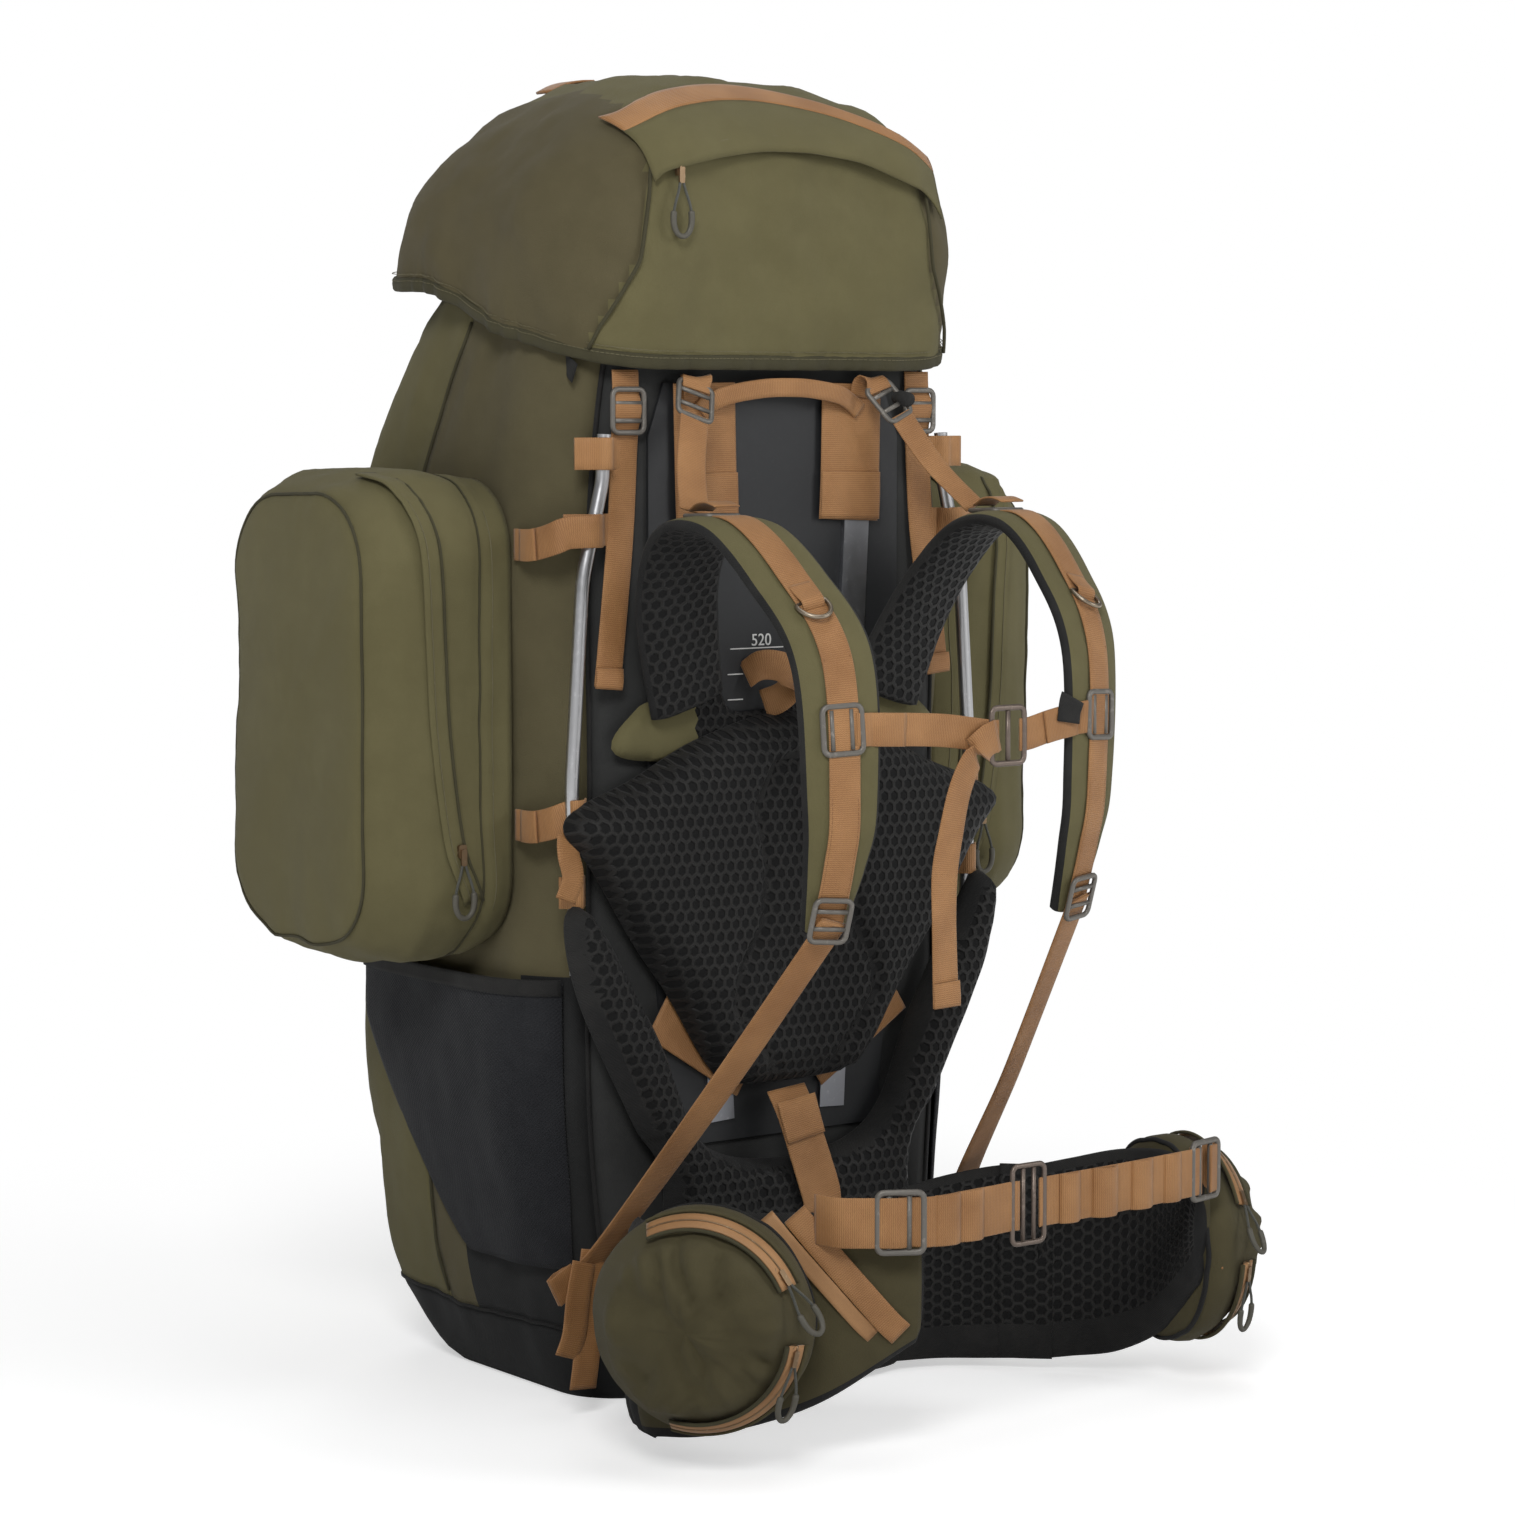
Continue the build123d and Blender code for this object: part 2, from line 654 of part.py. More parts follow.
with BuildPart() as lid:
    add(sewn_volume(lid_stations))
    chamber = [s for s in lid_stations if s[0] >= lid_shoulder]
    chamber = [(lid_floor_height + fabric,) + lid_stations[2][1:]] + chamber
    chamber[-1] = (chamber[-1][0] - fabric,) + chamber[-1][1:]
    add(sewn_volume(chamber, -fabric), mode=Mode.SUBTRACT)
    skirt = [lid_stations[0], lid_stations[1], (lid_floor_height,) + lid_stations[2][1:]]
    skirt[0] = (skirt[0][0] - 1,) + skirt[0][1:]
    add(sewn_volume(skirt, -fabric), mode=Mode.SUBTRACT)
    split(bisect_by=hem, keep=Keep.TOP)
lid.part.label = "lid"
export_step(lid.part, "parts/lid.step")

zip_start = -degrees(asin(zip_arc_half_span / zip_arc_radius))
lid_zip_height = zip_arc_top - zip_arc_radius * (1 - cos(radians(zip_start)))
write_zip("lid_zip", Plane(origin=(-zip_arc_half_span, lid_rear_face - slider_air, lid_zip_height),
                           x_dir=(1, 0, 0), z_dir=(0, -1, 0)))

# ---------------------------------------------------------------- shoulder harness

# middle line of one strap from the yoke over the shoulder to its lower end
pad_line = [
    (99, yoke_front - 0.6 - shoulder_pad_thickness / 2, 560), (116, -176, 614), (132, -198, 662), (142, -236, 699), (141, -290, 700),
    (135, -340, 664), (126, -383, 606), (122, -388, 500), (121, -380, 455), (121, -364, 404),
]
pad_across = [(1, 0, -0.31), (1, 0.05, 0), (1, 0.1, 0), (1, 0.15, 0), (1, 0.2, 0), (1, 0.24, 0),
              (1, 0.26, 0), (1, 0.26, 0), (1, 0.26, 0), (1, 0.26, 0)]
pad_width = [shoulder_pad_width + 4] * 4 + [shoulder_pad_width] * 3 + [
    shoulder_pad_width - 6, shoulder_pad_width - 16, shoulder_pad_width - 34]
web_lift = shoulder_pad_thickness / 2 + clearance + web_thickness / 2
lock_lift = web_lift + web_thickness / 2 + 2 * clearance + plastic / 2
slider_lift = web_lift + web_thickness / 2 + clearance + plastic / 2


def lock_on_strap(index, share, line, across, lift, sign, width=34.0, height=38.0,
                  thickness=plastic):
    """A ladder lock lying on the strap between two of its points."""
    raised = lifted(line, across, lift)
    start = Vector(*raised[index])
    end = Vector(*raised[index + 1])
    way = (end - start).normalized()
    side = Vector(*across[index])
    side = (side - way * side.dot(way)).normalized()
    middle = start + (end - start) * share
    middle = Vector(sign * middle.X, middle.Y, middle.Z)
    way = Vector(sign * way.X, way.Y, way.Z)
    side = Vector(side.X, sign * side.Y, sign * side.Z)
    return ladder_lock(Plane(origin=middle, x_dir=side, z_dir=side.cross(way)),
                       width, height, thickness)


def turned(across, sign):
    """Width directions of the other side's strap."""
    return [(x, sign * y, sign * z) for x, y, z in across]


web_line = lifted(pad_line, pad_across, web_lift)
lower_start = Vector(*web_line[-1])
lower_end = Vector(anchor_x - 3, anchor_y - 2 * web_thickness - 3 * clearance,
                   anchor_height + 26)
ring_bar_height = 648.0

for side, sign in sides:
    across = turned(pad_across, sign)
    with BuildPart() as shoulder_pad:
        add(band(mirrored(pad_line, sign), across, pad_width, shoulder_pad_thickness))
    shoulder_pad.part.label = f"shoulder_pad_{side}"
    export_step(shoulder_pad.part, f"parts/shoulder_pad_{side}.step")

    # webbing sewn down the pad's outer face, and the load lifter above it
    with BuildPart() as shoulder_webbing:
        run = web_line[3:]
        add(band(mirrored(run, sign), across[3:], [web] * len(run), web_thickness))
        lifter_top = Vector(lifter_x, lifter_y, lifter_height) + lifter_way * (
            lock_height / 2 + clearance)
        lifter_low = Vector(*lifted(pad_line, pad_across, lock_lift)[3]) - lifter_way * 6
        add(strap_along(mirrored([tuple(lifter_top), tuple(lifter_low)], sign)))
    shoulder_webbing.part.label = f"shoulder_webbing_{side}"
    export_step(shoulder_webbing.part, f"parts/shoulder_webbing_{side}.step")

    with BuildPart() as shoulder_locks:
        add(lock_on_strap(3, 0.36, pad_line, pad_across, lock_lift, sign))
        add(lock_on_strap(8, 0.78, pad_line, pad_across, lock_lift, sign))
    shoulder_locks.part.label = f"shoulder_locks_{side}"
    export_step(shoulder_locks.part, f"parts/shoulder_locks_{side}.step")

    # strap from the pad's lower end to the anchor low on the bag
    with BuildPart() as lower_strap:
        way = (lower_end - lower_start).normalized()
        first = lower_start + way * (slip + 1)
        ends = [tuple(first), tuple(lower_end)]
        add(band(mirrored(ends, sign), [(1, 0.26 * sign, 0), (1, 0, 0)], [web, web],
                 web_thickness))
    lower_strap.part.label = f"lower_strap_{side}"
    export_step(lower_strap.part, f"parts/lower_strap_{side}.step")

# ---------------------------------------------------------------- small metal rings

ring_width = 27.0
ring_drop = 19.0
ring_wire = 3.4


def strap_plane(height, lift, sign):
    """A plane on the strap's front run at a height, its Z pointing away from the pad."""
    raised = lifted(pad_line, pad_across, lift)
    for index, (top, low) in enumerate(zip(raised, raised[1:])):
        if index >= 4 and low[2] <= height <= top[2]:
            break
    start = Vector(*top)
    end = Vector(*low)
    share = (start.Z - height) / (start.Z - end.Z)
    middle = start + (end - start) * share
    way = (end - start).normalized()
    side = Vector(*pad_across[index])
    side = (side - way * side.dot(way)).normalized()
    middle = Vector(sign * middle.X, middle.Y, middle.Z)
    way = Vector(sign * way.X, way.Y, way.Z)
    side = Vector(side.X, sign * side.Y, sign * side.Z)
    return Plane(origin=middle, x_dir=side, z_dir=way.cross(side) * -1)


ring_lift = web_lift + web_thickness / 2 + clearance + ring_wire / 2
for side, sign in sides:
    place = strap_plane(ring_bar_height, ring_lift, sign)
    half = ring_width / 2
    with BuildPart() as d_ring:
        with BuildSketch(place):
            with BuildLine():
                Line((-half, 0), (half, 0))
                Line((half, 0), (half, ring_drop - half))
                ThreePointArc((half, ring_drop - half), (0, ring_drop), (-half, ring_drop - half))
                Line((-half, ring_drop - half), (-half, 0))
            make_face()
            offset(amount=-ring_wire, mode=Mode.SUBTRACT)
        extrude(amount=ring_wire / 2, both=True)
        chamfer(d_ring.edges(), ring_wire * 0.24)
    print(f"d_ring_{side} bar at", place.origin, place.x_dir, place.y_dir, place.z_dir)
    d_ring.part.label = f"d_ring_{side}"
    export_step(d_ring.part, f"parts/d_ring_{side}.step")

# ---------------------------------------------------------------- sternum strap

sternum_height = 556.0
sternum_slider_width = 36.0
sternum_slider_height = 40.0
slider_gap = 2.0            # air beside a slider, where its strap leaves at an angle
hook_x = 26.0
hook_y = -404.0
hook_z = 545.0
hook_plate = 3.0
sternum_hook_width = 36.0
sternum_hook_height = 46.0

slider_places = {}
for side, sign in sides:
    place = strap_plane(sternum_height, slider_lift, sign)
    slider_places[side] = place
    with BuildPart() as sternum_slider:
        add(ladder_lock(place, sternum_slider_width, sternum_slider_height))
    sternum_slider.part.label = f"sternum_slider_{side}"
    export_step(sternum_slider.part, f"parts/sternum_slider_{side}.step")
    print(f"sternum slider {side}", place.origin, place.y_dir)

left_edge = slider_places["left"].origin + slider_places["left"].x_dir * (
    sternum_slider_width / 2 + slider_gap)
right_edge = slider_places["right"].origin - slider_places["right"].x_dir * (
    sternum_slider_width / 2 + 2 * slider_gap)
hook_left = hook_x - sternum_hook_width / 2
hook_right = hook_x + sternum_hook_width / 2
with BuildPart() as sternum_strap_left:
    line = [tuple(left_edge), (-40, hook_y + 1, sternum_height - 4),
            (hook_left - slip - clearance, hook_y, hook_z)]
    add(strap_along(line, (0, 0, 1)))
    # the loose end turns down at the hook and hangs
    tail_y = hook_y - hook_plate / 2 - web_thickness / 2 - clearance
    tail = [(hook_left - 7, tail_y, hook_z - 14), (-32, tail_y, hook_z - 60),
            (-40, tail_y, 440), (-36, tail_y, 342)]
    add(strap_along(tail, (1, 0, 0)))
sternum_strap_left.part.label = "sternum_strap_left"
export_step(sternum_strap_left.part, "parts/sternum_strap_left.step")

with BuildPart() as sternum_strap_right:
    line = [tuple(right_edge), (hook_right + slip + clearance, hook_y, hook_z)]
    add(strap_along(line, (0, 0, 1)))
sternum_strap_right.part.label = "sternum_strap_right"
export_step(sternum_strap_right.part, "parts/sternum_strap_right.step")


def slotted_hook(middle, width, height, thickness, slots):
    """A flat metal hook: a rounded plate with upright slots, the last one open below."""
    bar = 4.0
    room = (width - bar) / slots - bar
    with BuildPart() as hook:
        with BuildSketch(Plane(origin=middle, x_dir=(1, 0, 0), z_dir=(0, -1, 0))):
            RectangleRounded(width, height, 5)
            for number in range(slots):
                left = -width / 2 + bar + number * (room + bar)
                with Locations((left + room / 2, 0)):
                    RectangleRounded(room, height - 2 * bar - 2, min(room, 4) / 2 - 0.1,
                                     mode=Mode.SUBTRACT)
            with Locations((width / 2, -height / 2 + 9)):
                Rectangle(2 * bar + 1, 6, mode=Mode.SUBTRACT)
        extrude(amount=thickness / 2, both=True)
    return hook.part


with BuildPart() as sternum_hook:
    add(slotted_hook((hook_x, hook_y, hook_z), sternum_hook_width, sternum_hook_height,
                     hook_plate, 2))
sternum_hook.part.label = "sternum_hook"
export_step(sternum_hook.part, "parts/sternum_hook.step")

# ---------------------------------------------------------------- hip belt

pocket_radius = 86.0
pocket_face_radius = 64.0
pocket_thickness = 62.0
pocket_centers = {"left": (-186.0, -316.0, 116.0), "right": (243.0, -322.0, 116.0)}
pocket_outward = {"left": Vector(-0.78, -0.63, 0).normalized(),
                  "right": Vector(0.97, -0.22, 0).normalized()}
zip_angles = {"left": (33.0, -12.0), "right": (35.0, -10.0)}


def pocket_plane(side, distance):
    """A plane facing out of a hip pocket, its X level and its Y up."""
    out = pocket_outward[side]
    middle = Vector(*pocket_centers[side]) + out * distance
    level = Vector(0, 0, 1).cross(out)
    return Plane(origin=middle, x_dir=level, z_dir=out)


for side, sign in sides:
    plan = list(wing_lines[side][3:])
    start = Vector(*plan[0]) + wing_ways[side][3] * wing_gap
    plan[0] = (start.X, start.Y)
    with BuildPart() as hip_wing:
        add(wing_band(plan, wing_ways[side][3:], wing_lows[3:], wing_highs[3:],
                      wing_thickness))
        # room for the flat back of the pocket
        with BuildSketch(pocket_plane(side, wing_thickness / 2)):
            Circle(pocket_radius + 6)
        extrude(amount=60, mode=Mode.SUBTRACT)
    hip_wing.part.label = f"hip_wing_{side}"
    export_step(hip_wing.part, f"parts/hip_wing_{side}.step")

    with BuildPart() as hip_pocket:
        for shrink, mode in ((0, Mode.ADD), (fabric, Mode.SUBTRACT)):
            near = wing_thickness / 2 + clearance + shrink
            out = wing_thickness / 2 + pocket_thickness - shrink
            for distance, radius in ((near, pocket_radius - 6), (near + 22, pocket_radius),
                                     (out, pocket_face_radius)):
                with BuildSketch(pocket_plane(side, distance)):
                    Circle(radius - shrink)
            loft(ruled=True, mode=mode)
    hip_pocket.part.label = f"hip_pocket_{side}"
    export_step(hip_pocket.part, f"parts/hip_pocket_{side}.step")

    # sliders ride on the cone between the pocket's rim and its face
    rim = wing_thickness / 2 + clearance + 22
    face = wing_thickness / 2 + pocket_thickness
    cone = Vector(face - rim, pocket_radius - pocket_face_radius)
    for place, angle in zip(("upper", "lower"), zip_angles[side]):
        base = pocket_plane(side, (rim + face) / 2)
        # the zip runs on the front half of the pocket, towards the wing's tip
        level = base.x_dir if side == "left" else base.x_dir * -1
        radial = level * cos(radians(angle)) + Vector(0, 0, 1) * sin(radians(angle))
        outward = (radial * cone.X + base.z_dir * cone.Y).normalized()
        radius = (pocket_radius + pocket_face_radius) / 2
        on_cone = base.origin + radial * radius + outward * slider_air
        along = radial.cross(base.z_dir).normalized()
        if along.Z < 0:
            along = along * -1
        write_zip(f"hip_zip_{place}_{side}",
                  Plane(origin=on_cone, x_dir=along.cross(outward), z_dir=outward))
        print(f"hip zip {place} {side}", on_cone, outward, along)

# webbing, lock and hook across the front of the belt
belt_height = 190.0
belt_hook_x = 24.0
belt_hook_y = -433.0
belt_hook_width = 34.0
belt_hook_height = 62.0
belt_lock_width = 48.0
belt_lock_length = 40.0
lock_middles = {"left": Vector(-98, -430, belt_height), "right": Vector(226, -414, belt_height)}
lock_leans = {"left": radians(30), "right": radians(-12)}
lock_ends = {}
for side, sign in sides:
    lean = lock_leans[side]
    plane = Plane(origin=lock_middles[side], x_dir=(0, 0, 1), z_dir=(-sin(lean), -cos(lean), 0))
    reach = plane.y_dir * (belt_lock_length / 2 + 2 * clearance)
    lock_ends[side] = (plane.origin - reach * sign, plane.origin + reach * sign)
    with BuildPart() as hip_lock:
        add(ladder_lock(plane, belt_lock_width, belt_lock_length, plastic + 0.5))
    hip_lock.part.label = f"hip_lock_{side}"
    export_step(hip_lock.part, f"parts/hip_lock_{side}.step")

hook_edge = belt_hook_width / 2 + clearance
with BuildPart() as hip_webbing_left:
    outer_end, inner_end = lock_ends["left"]
    add(strap_along([tuple(inner_end), (-40, -438.5, belt_height),
                     (belt_hook_x - hook_edge, belt_hook_y, belt_height)],
                    (0, 0, 1), wide_web))
    add(strap_along([(-141, -380, belt_height), (-137, -402, belt_height),
                     tuple(outer_end)], (0, 0, 1), wide_web))
hip_webbing_left.part.label = "hip_webbing_left"
export_step(hip_webbing_left.part, "parts/hip_webbing_left.step")

with BuildPart() as hip_webbing_right:
    outer_end, inner_end = lock_ends["right"]
    add(strap_along([(belt_hook_x + hook_edge, belt_hook_y, belt_height),
                     (130, -427, belt_height), tuple(inner_end)], (0, 0, 1), wide_web))
    add(strap_along([(237.5, -398, belt_height), (248.5, -404.5, belt_height),
                     tuple(outer_end + Vector(0.8, 0, 0))], (0, 0, 1), wide_web))
hip_webbing_right.part.label = "hip_webbing_right"
export_step(hip_webbing_right.part, "parts/hip_webbing_right.step")

with BuildPart() as hip_hook:
    add(slotted_hook((belt_hook_x, belt_hook_y, belt_height), belt_hook_width,
                     belt_hook_height, hook_plate, 3))
hip_hook.part.label = "hip_hook"
export_step(hip_hook.part, "parts/hip_hook.step")
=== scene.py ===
"""Large external-frame hunting backpack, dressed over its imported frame.

Lengths in this script are millimetres until a mesh is made, which is in metres.
The wearer's side is -Y, the front of the load is +Y, +Z is up.
"""

import json
import math
from functools import partial

import bmesh
import bpy
import numpy as np
from mathutils import Matrix, Vector, noise
from mathutils.geometry import delaunay_2d_cdt

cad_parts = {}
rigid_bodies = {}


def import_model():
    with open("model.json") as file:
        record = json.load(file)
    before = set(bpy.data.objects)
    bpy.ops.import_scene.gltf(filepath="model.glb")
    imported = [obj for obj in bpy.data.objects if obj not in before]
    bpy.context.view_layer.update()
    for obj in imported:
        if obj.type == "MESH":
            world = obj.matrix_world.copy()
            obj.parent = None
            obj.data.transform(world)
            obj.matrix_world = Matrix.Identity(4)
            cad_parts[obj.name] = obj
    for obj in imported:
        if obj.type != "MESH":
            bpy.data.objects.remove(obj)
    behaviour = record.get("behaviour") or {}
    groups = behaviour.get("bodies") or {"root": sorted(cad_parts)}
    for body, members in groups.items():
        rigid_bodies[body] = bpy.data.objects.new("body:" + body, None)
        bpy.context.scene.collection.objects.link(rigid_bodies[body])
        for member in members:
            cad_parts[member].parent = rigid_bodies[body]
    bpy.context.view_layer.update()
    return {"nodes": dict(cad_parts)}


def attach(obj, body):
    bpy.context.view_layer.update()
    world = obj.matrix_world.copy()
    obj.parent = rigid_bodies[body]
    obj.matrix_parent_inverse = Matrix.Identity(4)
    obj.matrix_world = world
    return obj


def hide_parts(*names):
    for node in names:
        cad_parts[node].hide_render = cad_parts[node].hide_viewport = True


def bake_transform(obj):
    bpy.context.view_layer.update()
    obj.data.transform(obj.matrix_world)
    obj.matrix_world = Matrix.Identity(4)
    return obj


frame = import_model()
MM = 0.001
scene = bpy.context.scene
sides = (("left", -1), ("right", 1))
web_width, belt_width = 25, 38  # harness and belt webbing
lock_size = (34, 38)  # width and height of a ladder lock

# ------------------------------------------------------------------ camera, light, floor

camera_data = bpy.data.cameras.new("camera")
camera_data.lens = 94.8
camera_data.sensor_width = 36
camera_data.clip_end = 50
camera = bpy.data.objects.new("camera", camera_data)
camera.location = (-1.9395, -2.6979, 0.7919)
camera.rotation_euler = (math.radians(85), 0, math.radians(-37))
scene.collection.objects.link(camera)
scene.camera = camera
scene.view_settings.view_transform = "Standard"


def area_light(name, place, aim, size, power):
    data = bpy.data.lights.new(name, "AREA")
    data.shape = "RECTANGLE"
    data.size, data.size_y = size
    data.energy = power
    light = bpy.data.objects.new(name, data)
    light.location = place
    way = Vector(aim) - Vector(place)
    light.rotation_euler = way.to_track_quat("-Z", "Y").to_euler()
    scene.collection.objects.link(light)


area_light("key_soft_box", (-2.3, -2.6, 2.9), (0, -0.1, 0.75), (1.2, 1.2), 74)
area_light("fill_soft_box", (1.9, -3.0, 1.9), (0, -0.1, 0.6), (1.4, 1.4), 30)
area_light("back_soft_box", (1.2, 2.4, 2.8), (0, 0, 0.6), (1.6, 1.2), 17)
area_light("top_soft_box", (0.1, -0.6, 3.2), (0, -0.1, 0), (1.6, 1.6), 15)


def new_node(tree, kind, settings=(), **values):
    """A node with its settings and with values in its named inputs."""
    made = tree.nodes.new(kind)
    for label, value in dict(settings).items():
        setattr(made, label, value)
    for label, value in values.items():
        made.inputs[label.replace("_", " ")].default_value = value
    return made


def wire(tree, *pairs):
    """Links each output to its input."""
    for start, end in pairs:
        tree.links.new(start, end)


white = (1, 1, 1, 1)
world = bpy.data.worlds.new("studio")
world.use_nodes = True
scene.world = world
tree = world.node_tree
tree.nodes.clear()
output = new_node(tree, "ShaderNodeOutputWorld")
ambient = new_node(tree, "ShaderNodeBackground", Color=(0.97, 0.98, 1, 1), Strength=0.2)
backdrop = new_node(tree, "ShaderNodeBackground", Color=white, Strength=1)
paths = new_node(tree, "ShaderNodeLightPath")
either = new_node(tree, "ShaderNodeMath", {"operation": "MAXIMUM"})
mixer = new_node(tree, "ShaderNodeMixShader")
wire(tree, (paths.outputs["Is Camera Ray"], either.inputs[0]),
     (paths.outputs["Is Transmission Ray"], either.inputs[1]),
     (either.outputs[0], mixer.inputs[0]), (ambient.outputs[0], mixer.inputs[1]),
     (backdrop.outputs[0], mixer.inputs[2]), (mixer.outputs[0], output.inputs[0]))

# the floor takes shadows near the pack and fades into the backdrop further out
reach, depth = 30, -0.0005
floor_mesh = bpy.data.meshes.new("floor")
floor_mesh.from_pydata([(-reach, -reach, depth), (reach, -reach, depth), (reach, reach, depth),
                        (-reach, reach, depth)], [], [(0, 1, 2, 3)])
floor = bpy.data.objects.new("floor", floor_mesh)
scene.collection.objects.link(floor)
floor_material = bpy.data.materials.new("floor")
floor_material.use_nodes = True
tree = floor_material.node_tree
tree.nodes.clear()
output = new_node(tree, "ShaderNodeOutputMaterial")
matt = new_node(tree, "ShaderNodeBsdfDiffuse", Color=(0.82, 0.82, 0.82, 1))
glow = new_node(tree, "ShaderNodeEmission", Color=white, Strength=0.5)
paths = new_node(tree, "ShaderNodeLightPath")
lit = new_node(tree, "ShaderNodeMixShader")
dark = new_node(tree, "ShaderNodeEmission", Strength=0)
total = new_node(tree, "ShaderNodeAddShader")
place = new_node(tree, "ShaderNodeTexCoord")
away = new_node(tree, "ShaderNodeVectorMath", {"operation": "LENGTH"})
fade = new_node(tree, "ShaderNodeMapRange", {"interpolation_type": "SMOOTHSTEP"},
                From_Min=0.55, From_Max=1.15)
clear = new_node(tree, "ShaderNodeEmission", Strength=1)
edge = new_node(tree, "ShaderNodeMixShader")
wire(tree, (paths.outputs["Is Camera Ray"], lit.inputs[0]), (dark.outputs[0], lit.inputs[1]),
     (glow.outputs[0], lit.inputs[2]), (matt.outputs[0], total.inputs[0]),
     (lit.outputs[0], total.inputs[1]), (place.outputs["Object"], away.inputs[0]),
     (away.outputs["Value"], fade.inputs["Value"]), (fade.outputs["Result"], edge.inputs[0]),
     (total.outputs[0], edge.inputs[1]), (clear.outputs[0], edge.inputs[2]),
     (edge.outputs[0], output.inputs[0]))
floor_mesh.materials.append(floor_material)

# ------------------------------------------------------------------ shader groups


def group(name, inputs, outputs):
    """A shader node group with named float, vector or color sockets."""
    made = bpy.data.node_groups.new(name, "ShaderNodeTree")
    kinds = {"f": "NodeSocketFloat", "v": "NodeSocketVector", "c": "NodeSocketColor"}
    for label, kind, value in inputs:
        socket = made.interface.new_socket(label, in_out="INPUT", socket_type=kinds[kind])
        if value is not None:
            socket.default_value = value
    for label, kind in outputs:
        made.interface.new_socket(label, in_out="OUTPUT", socket_type=kinds[kind])
    return made, made.nodes.new("NodeGroupInput"), made.nodes.new("NodeGroupOutput")


def plug(tree, socket, value):
    """Sets an input, or links it if the value is another node's output."""
    if isinstance(value, (int, float, tuple)):
        socket.default_value = value
    else:
        tree.links.new(value, socket)


def math_node(tree, operation, *values, clamp=False):
    node = new_node(tree, "ShaderNodeMath", {"operation": operation, "use_clamp": clamp})
    for socket, value in zip(node.inputs, values):
        plug(tree, socket, value)
    return node.outputs[0]


def sums(tree):
    """Functions that add a plus, minus, times, over and sine node to a tree."""
    return [partial(math_node, tree, operation)
            for operation in ("ADD", "SUBTRACT", "MULTIPLY", "DIVIDE", "SINE")]


def noise_node(tree, vector, scale, detail=2, rough=0.5):
    node = new_node(tree, "ShaderNodeTexNoise", Scale=scale, Detail=detail, Roughness=rough)
    tree.links.new(vector, node.inputs["Vector"])
    return node.outputs["Fac"]


def split_uv(tree, inner):
    node = new_node(tree, "ShaderNodeSeparateXYZ")
    tree.links.new(inner.outputs["UV"], node.inputs[0])
    return node.outputs[0], node.outputs[1]


def mix_color(tree, factor, first, second):
    node = new_node(tree, "ShaderNodeMix", {"data_type": "RGBA"})
    for label, value in (("Factor", factor), ("A", first), ("B", second)):
        plug(tree, node.inputs[label], value)
    return [o for o in node.outputs if o.type == "RGBA"][0]


def ramp(tree, value, low, high):
    """0 below low, 1 above high."""
    node = new_node(tree, "ShaderNodeMapRange", {"interpolation_type": "SMOOTHSTEP"},
                    From_Min=low, From_Max=high)
    tree.links.new(value, node.inputs["Value"])
    return node.outputs["Result"]


def give(tree, outer, **results):
    """Links a group's results to its output sockets."""
    for label, value in results.items():
        tree.links.new(value, outer.inputs[label])
    return tree


effect_outputs = [("Color", "c"), ("Height", "f"), ("Roughness", "f")]


def make_cloth_group():
    """Canvas: crossed threads, slubs and slow changes of dye and wear."""
    tree, inner, outer = group("cloth", [("UV", "v", None), ("Place", "v", None),
                                         ("Thread", "f", 0.0009), ("Contrast", "f", 0.5),
                                         ("Base", "c", white), ("Worn", "c", white)],
                               effect_outputs)
    plus, minus, times, over, sine = sums(tree)
    u, v = split_uv(tree, inner)
    place = inner.outputs["Place"]
    turns = over(2 * math.pi, inner.outputs["Thread"])
    warp = sine(times(u, turns))
    weft = sine(times(v, turns))
    crossed = times(warp, weft)
    slub = noise_node(tree, place, 900, 2)
    slow = noise_node(tree, place, 7, 4, 0.6)
    middle = noise_node(tree, place, 46, 4, 0.65)
    height = plus(times(crossed, 0.35), slub)
    height = plus(height, times(middle, 1.2))
    tone = ramp(tree, plus(times(slow, 0.6), times(middle, 0.4)), 0.36, 0.68)
    tone = plus(tone, times(minus(slub, 0.5), 0.5))
    tone = times(tone, inner.outputs["Contrast"], clamp=True)
    return give(tree, outer, Height=height,
                Color=mix_color(tree, tone, inner.outputs["Base"], inner.outputs["Worn"]),
                Roughness=plus(times(middle, 0.16), 0.72))


def make_webbing_group():
    """Grosgrain webbing: ribs across the strap and a chevron thread."""
    tree, inner, outer = group("webbing", [("UV", "v", None), ("Place", "v", None),
                                           ("Rib", "f", 0.0016), ("Base", "c", white),
                                           ("Lit", "c", white)], effect_outputs)
    plus, _, times, over, sine = sums(tree)
    u, v = split_uv(tree, inner)
    turns = over(2 * math.pi, inner.outputs["Rib"])
    along = times(v, turns)
    across = times(u, times(turns, 0.7))
    wave = times(sine(across), 0.8)
    rib = sine(plus(along, wave))
    fuzz = noise_node(tree, inner.outputs["Place"], 700, 3)
    slow = noise_node(tree, inner.outputs["Place"], 22, 3)
    height = plus(times(rib, 0.5), times(fuzz, 0.7))
    tone = plus(times(rib, 0.16), times(slow, 0.9))
    tone = ramp(tree, plus(tone, times(fuzz, 0.3)), 0.3, 0.95)
    return give(tree, outer, Height=height,
                Color=mix_color(tree, tone, inner.outputs["Base"], inner.outputs["Lit"]),
                Roughness=plus(times(fuzz, 0.25), 0.48))


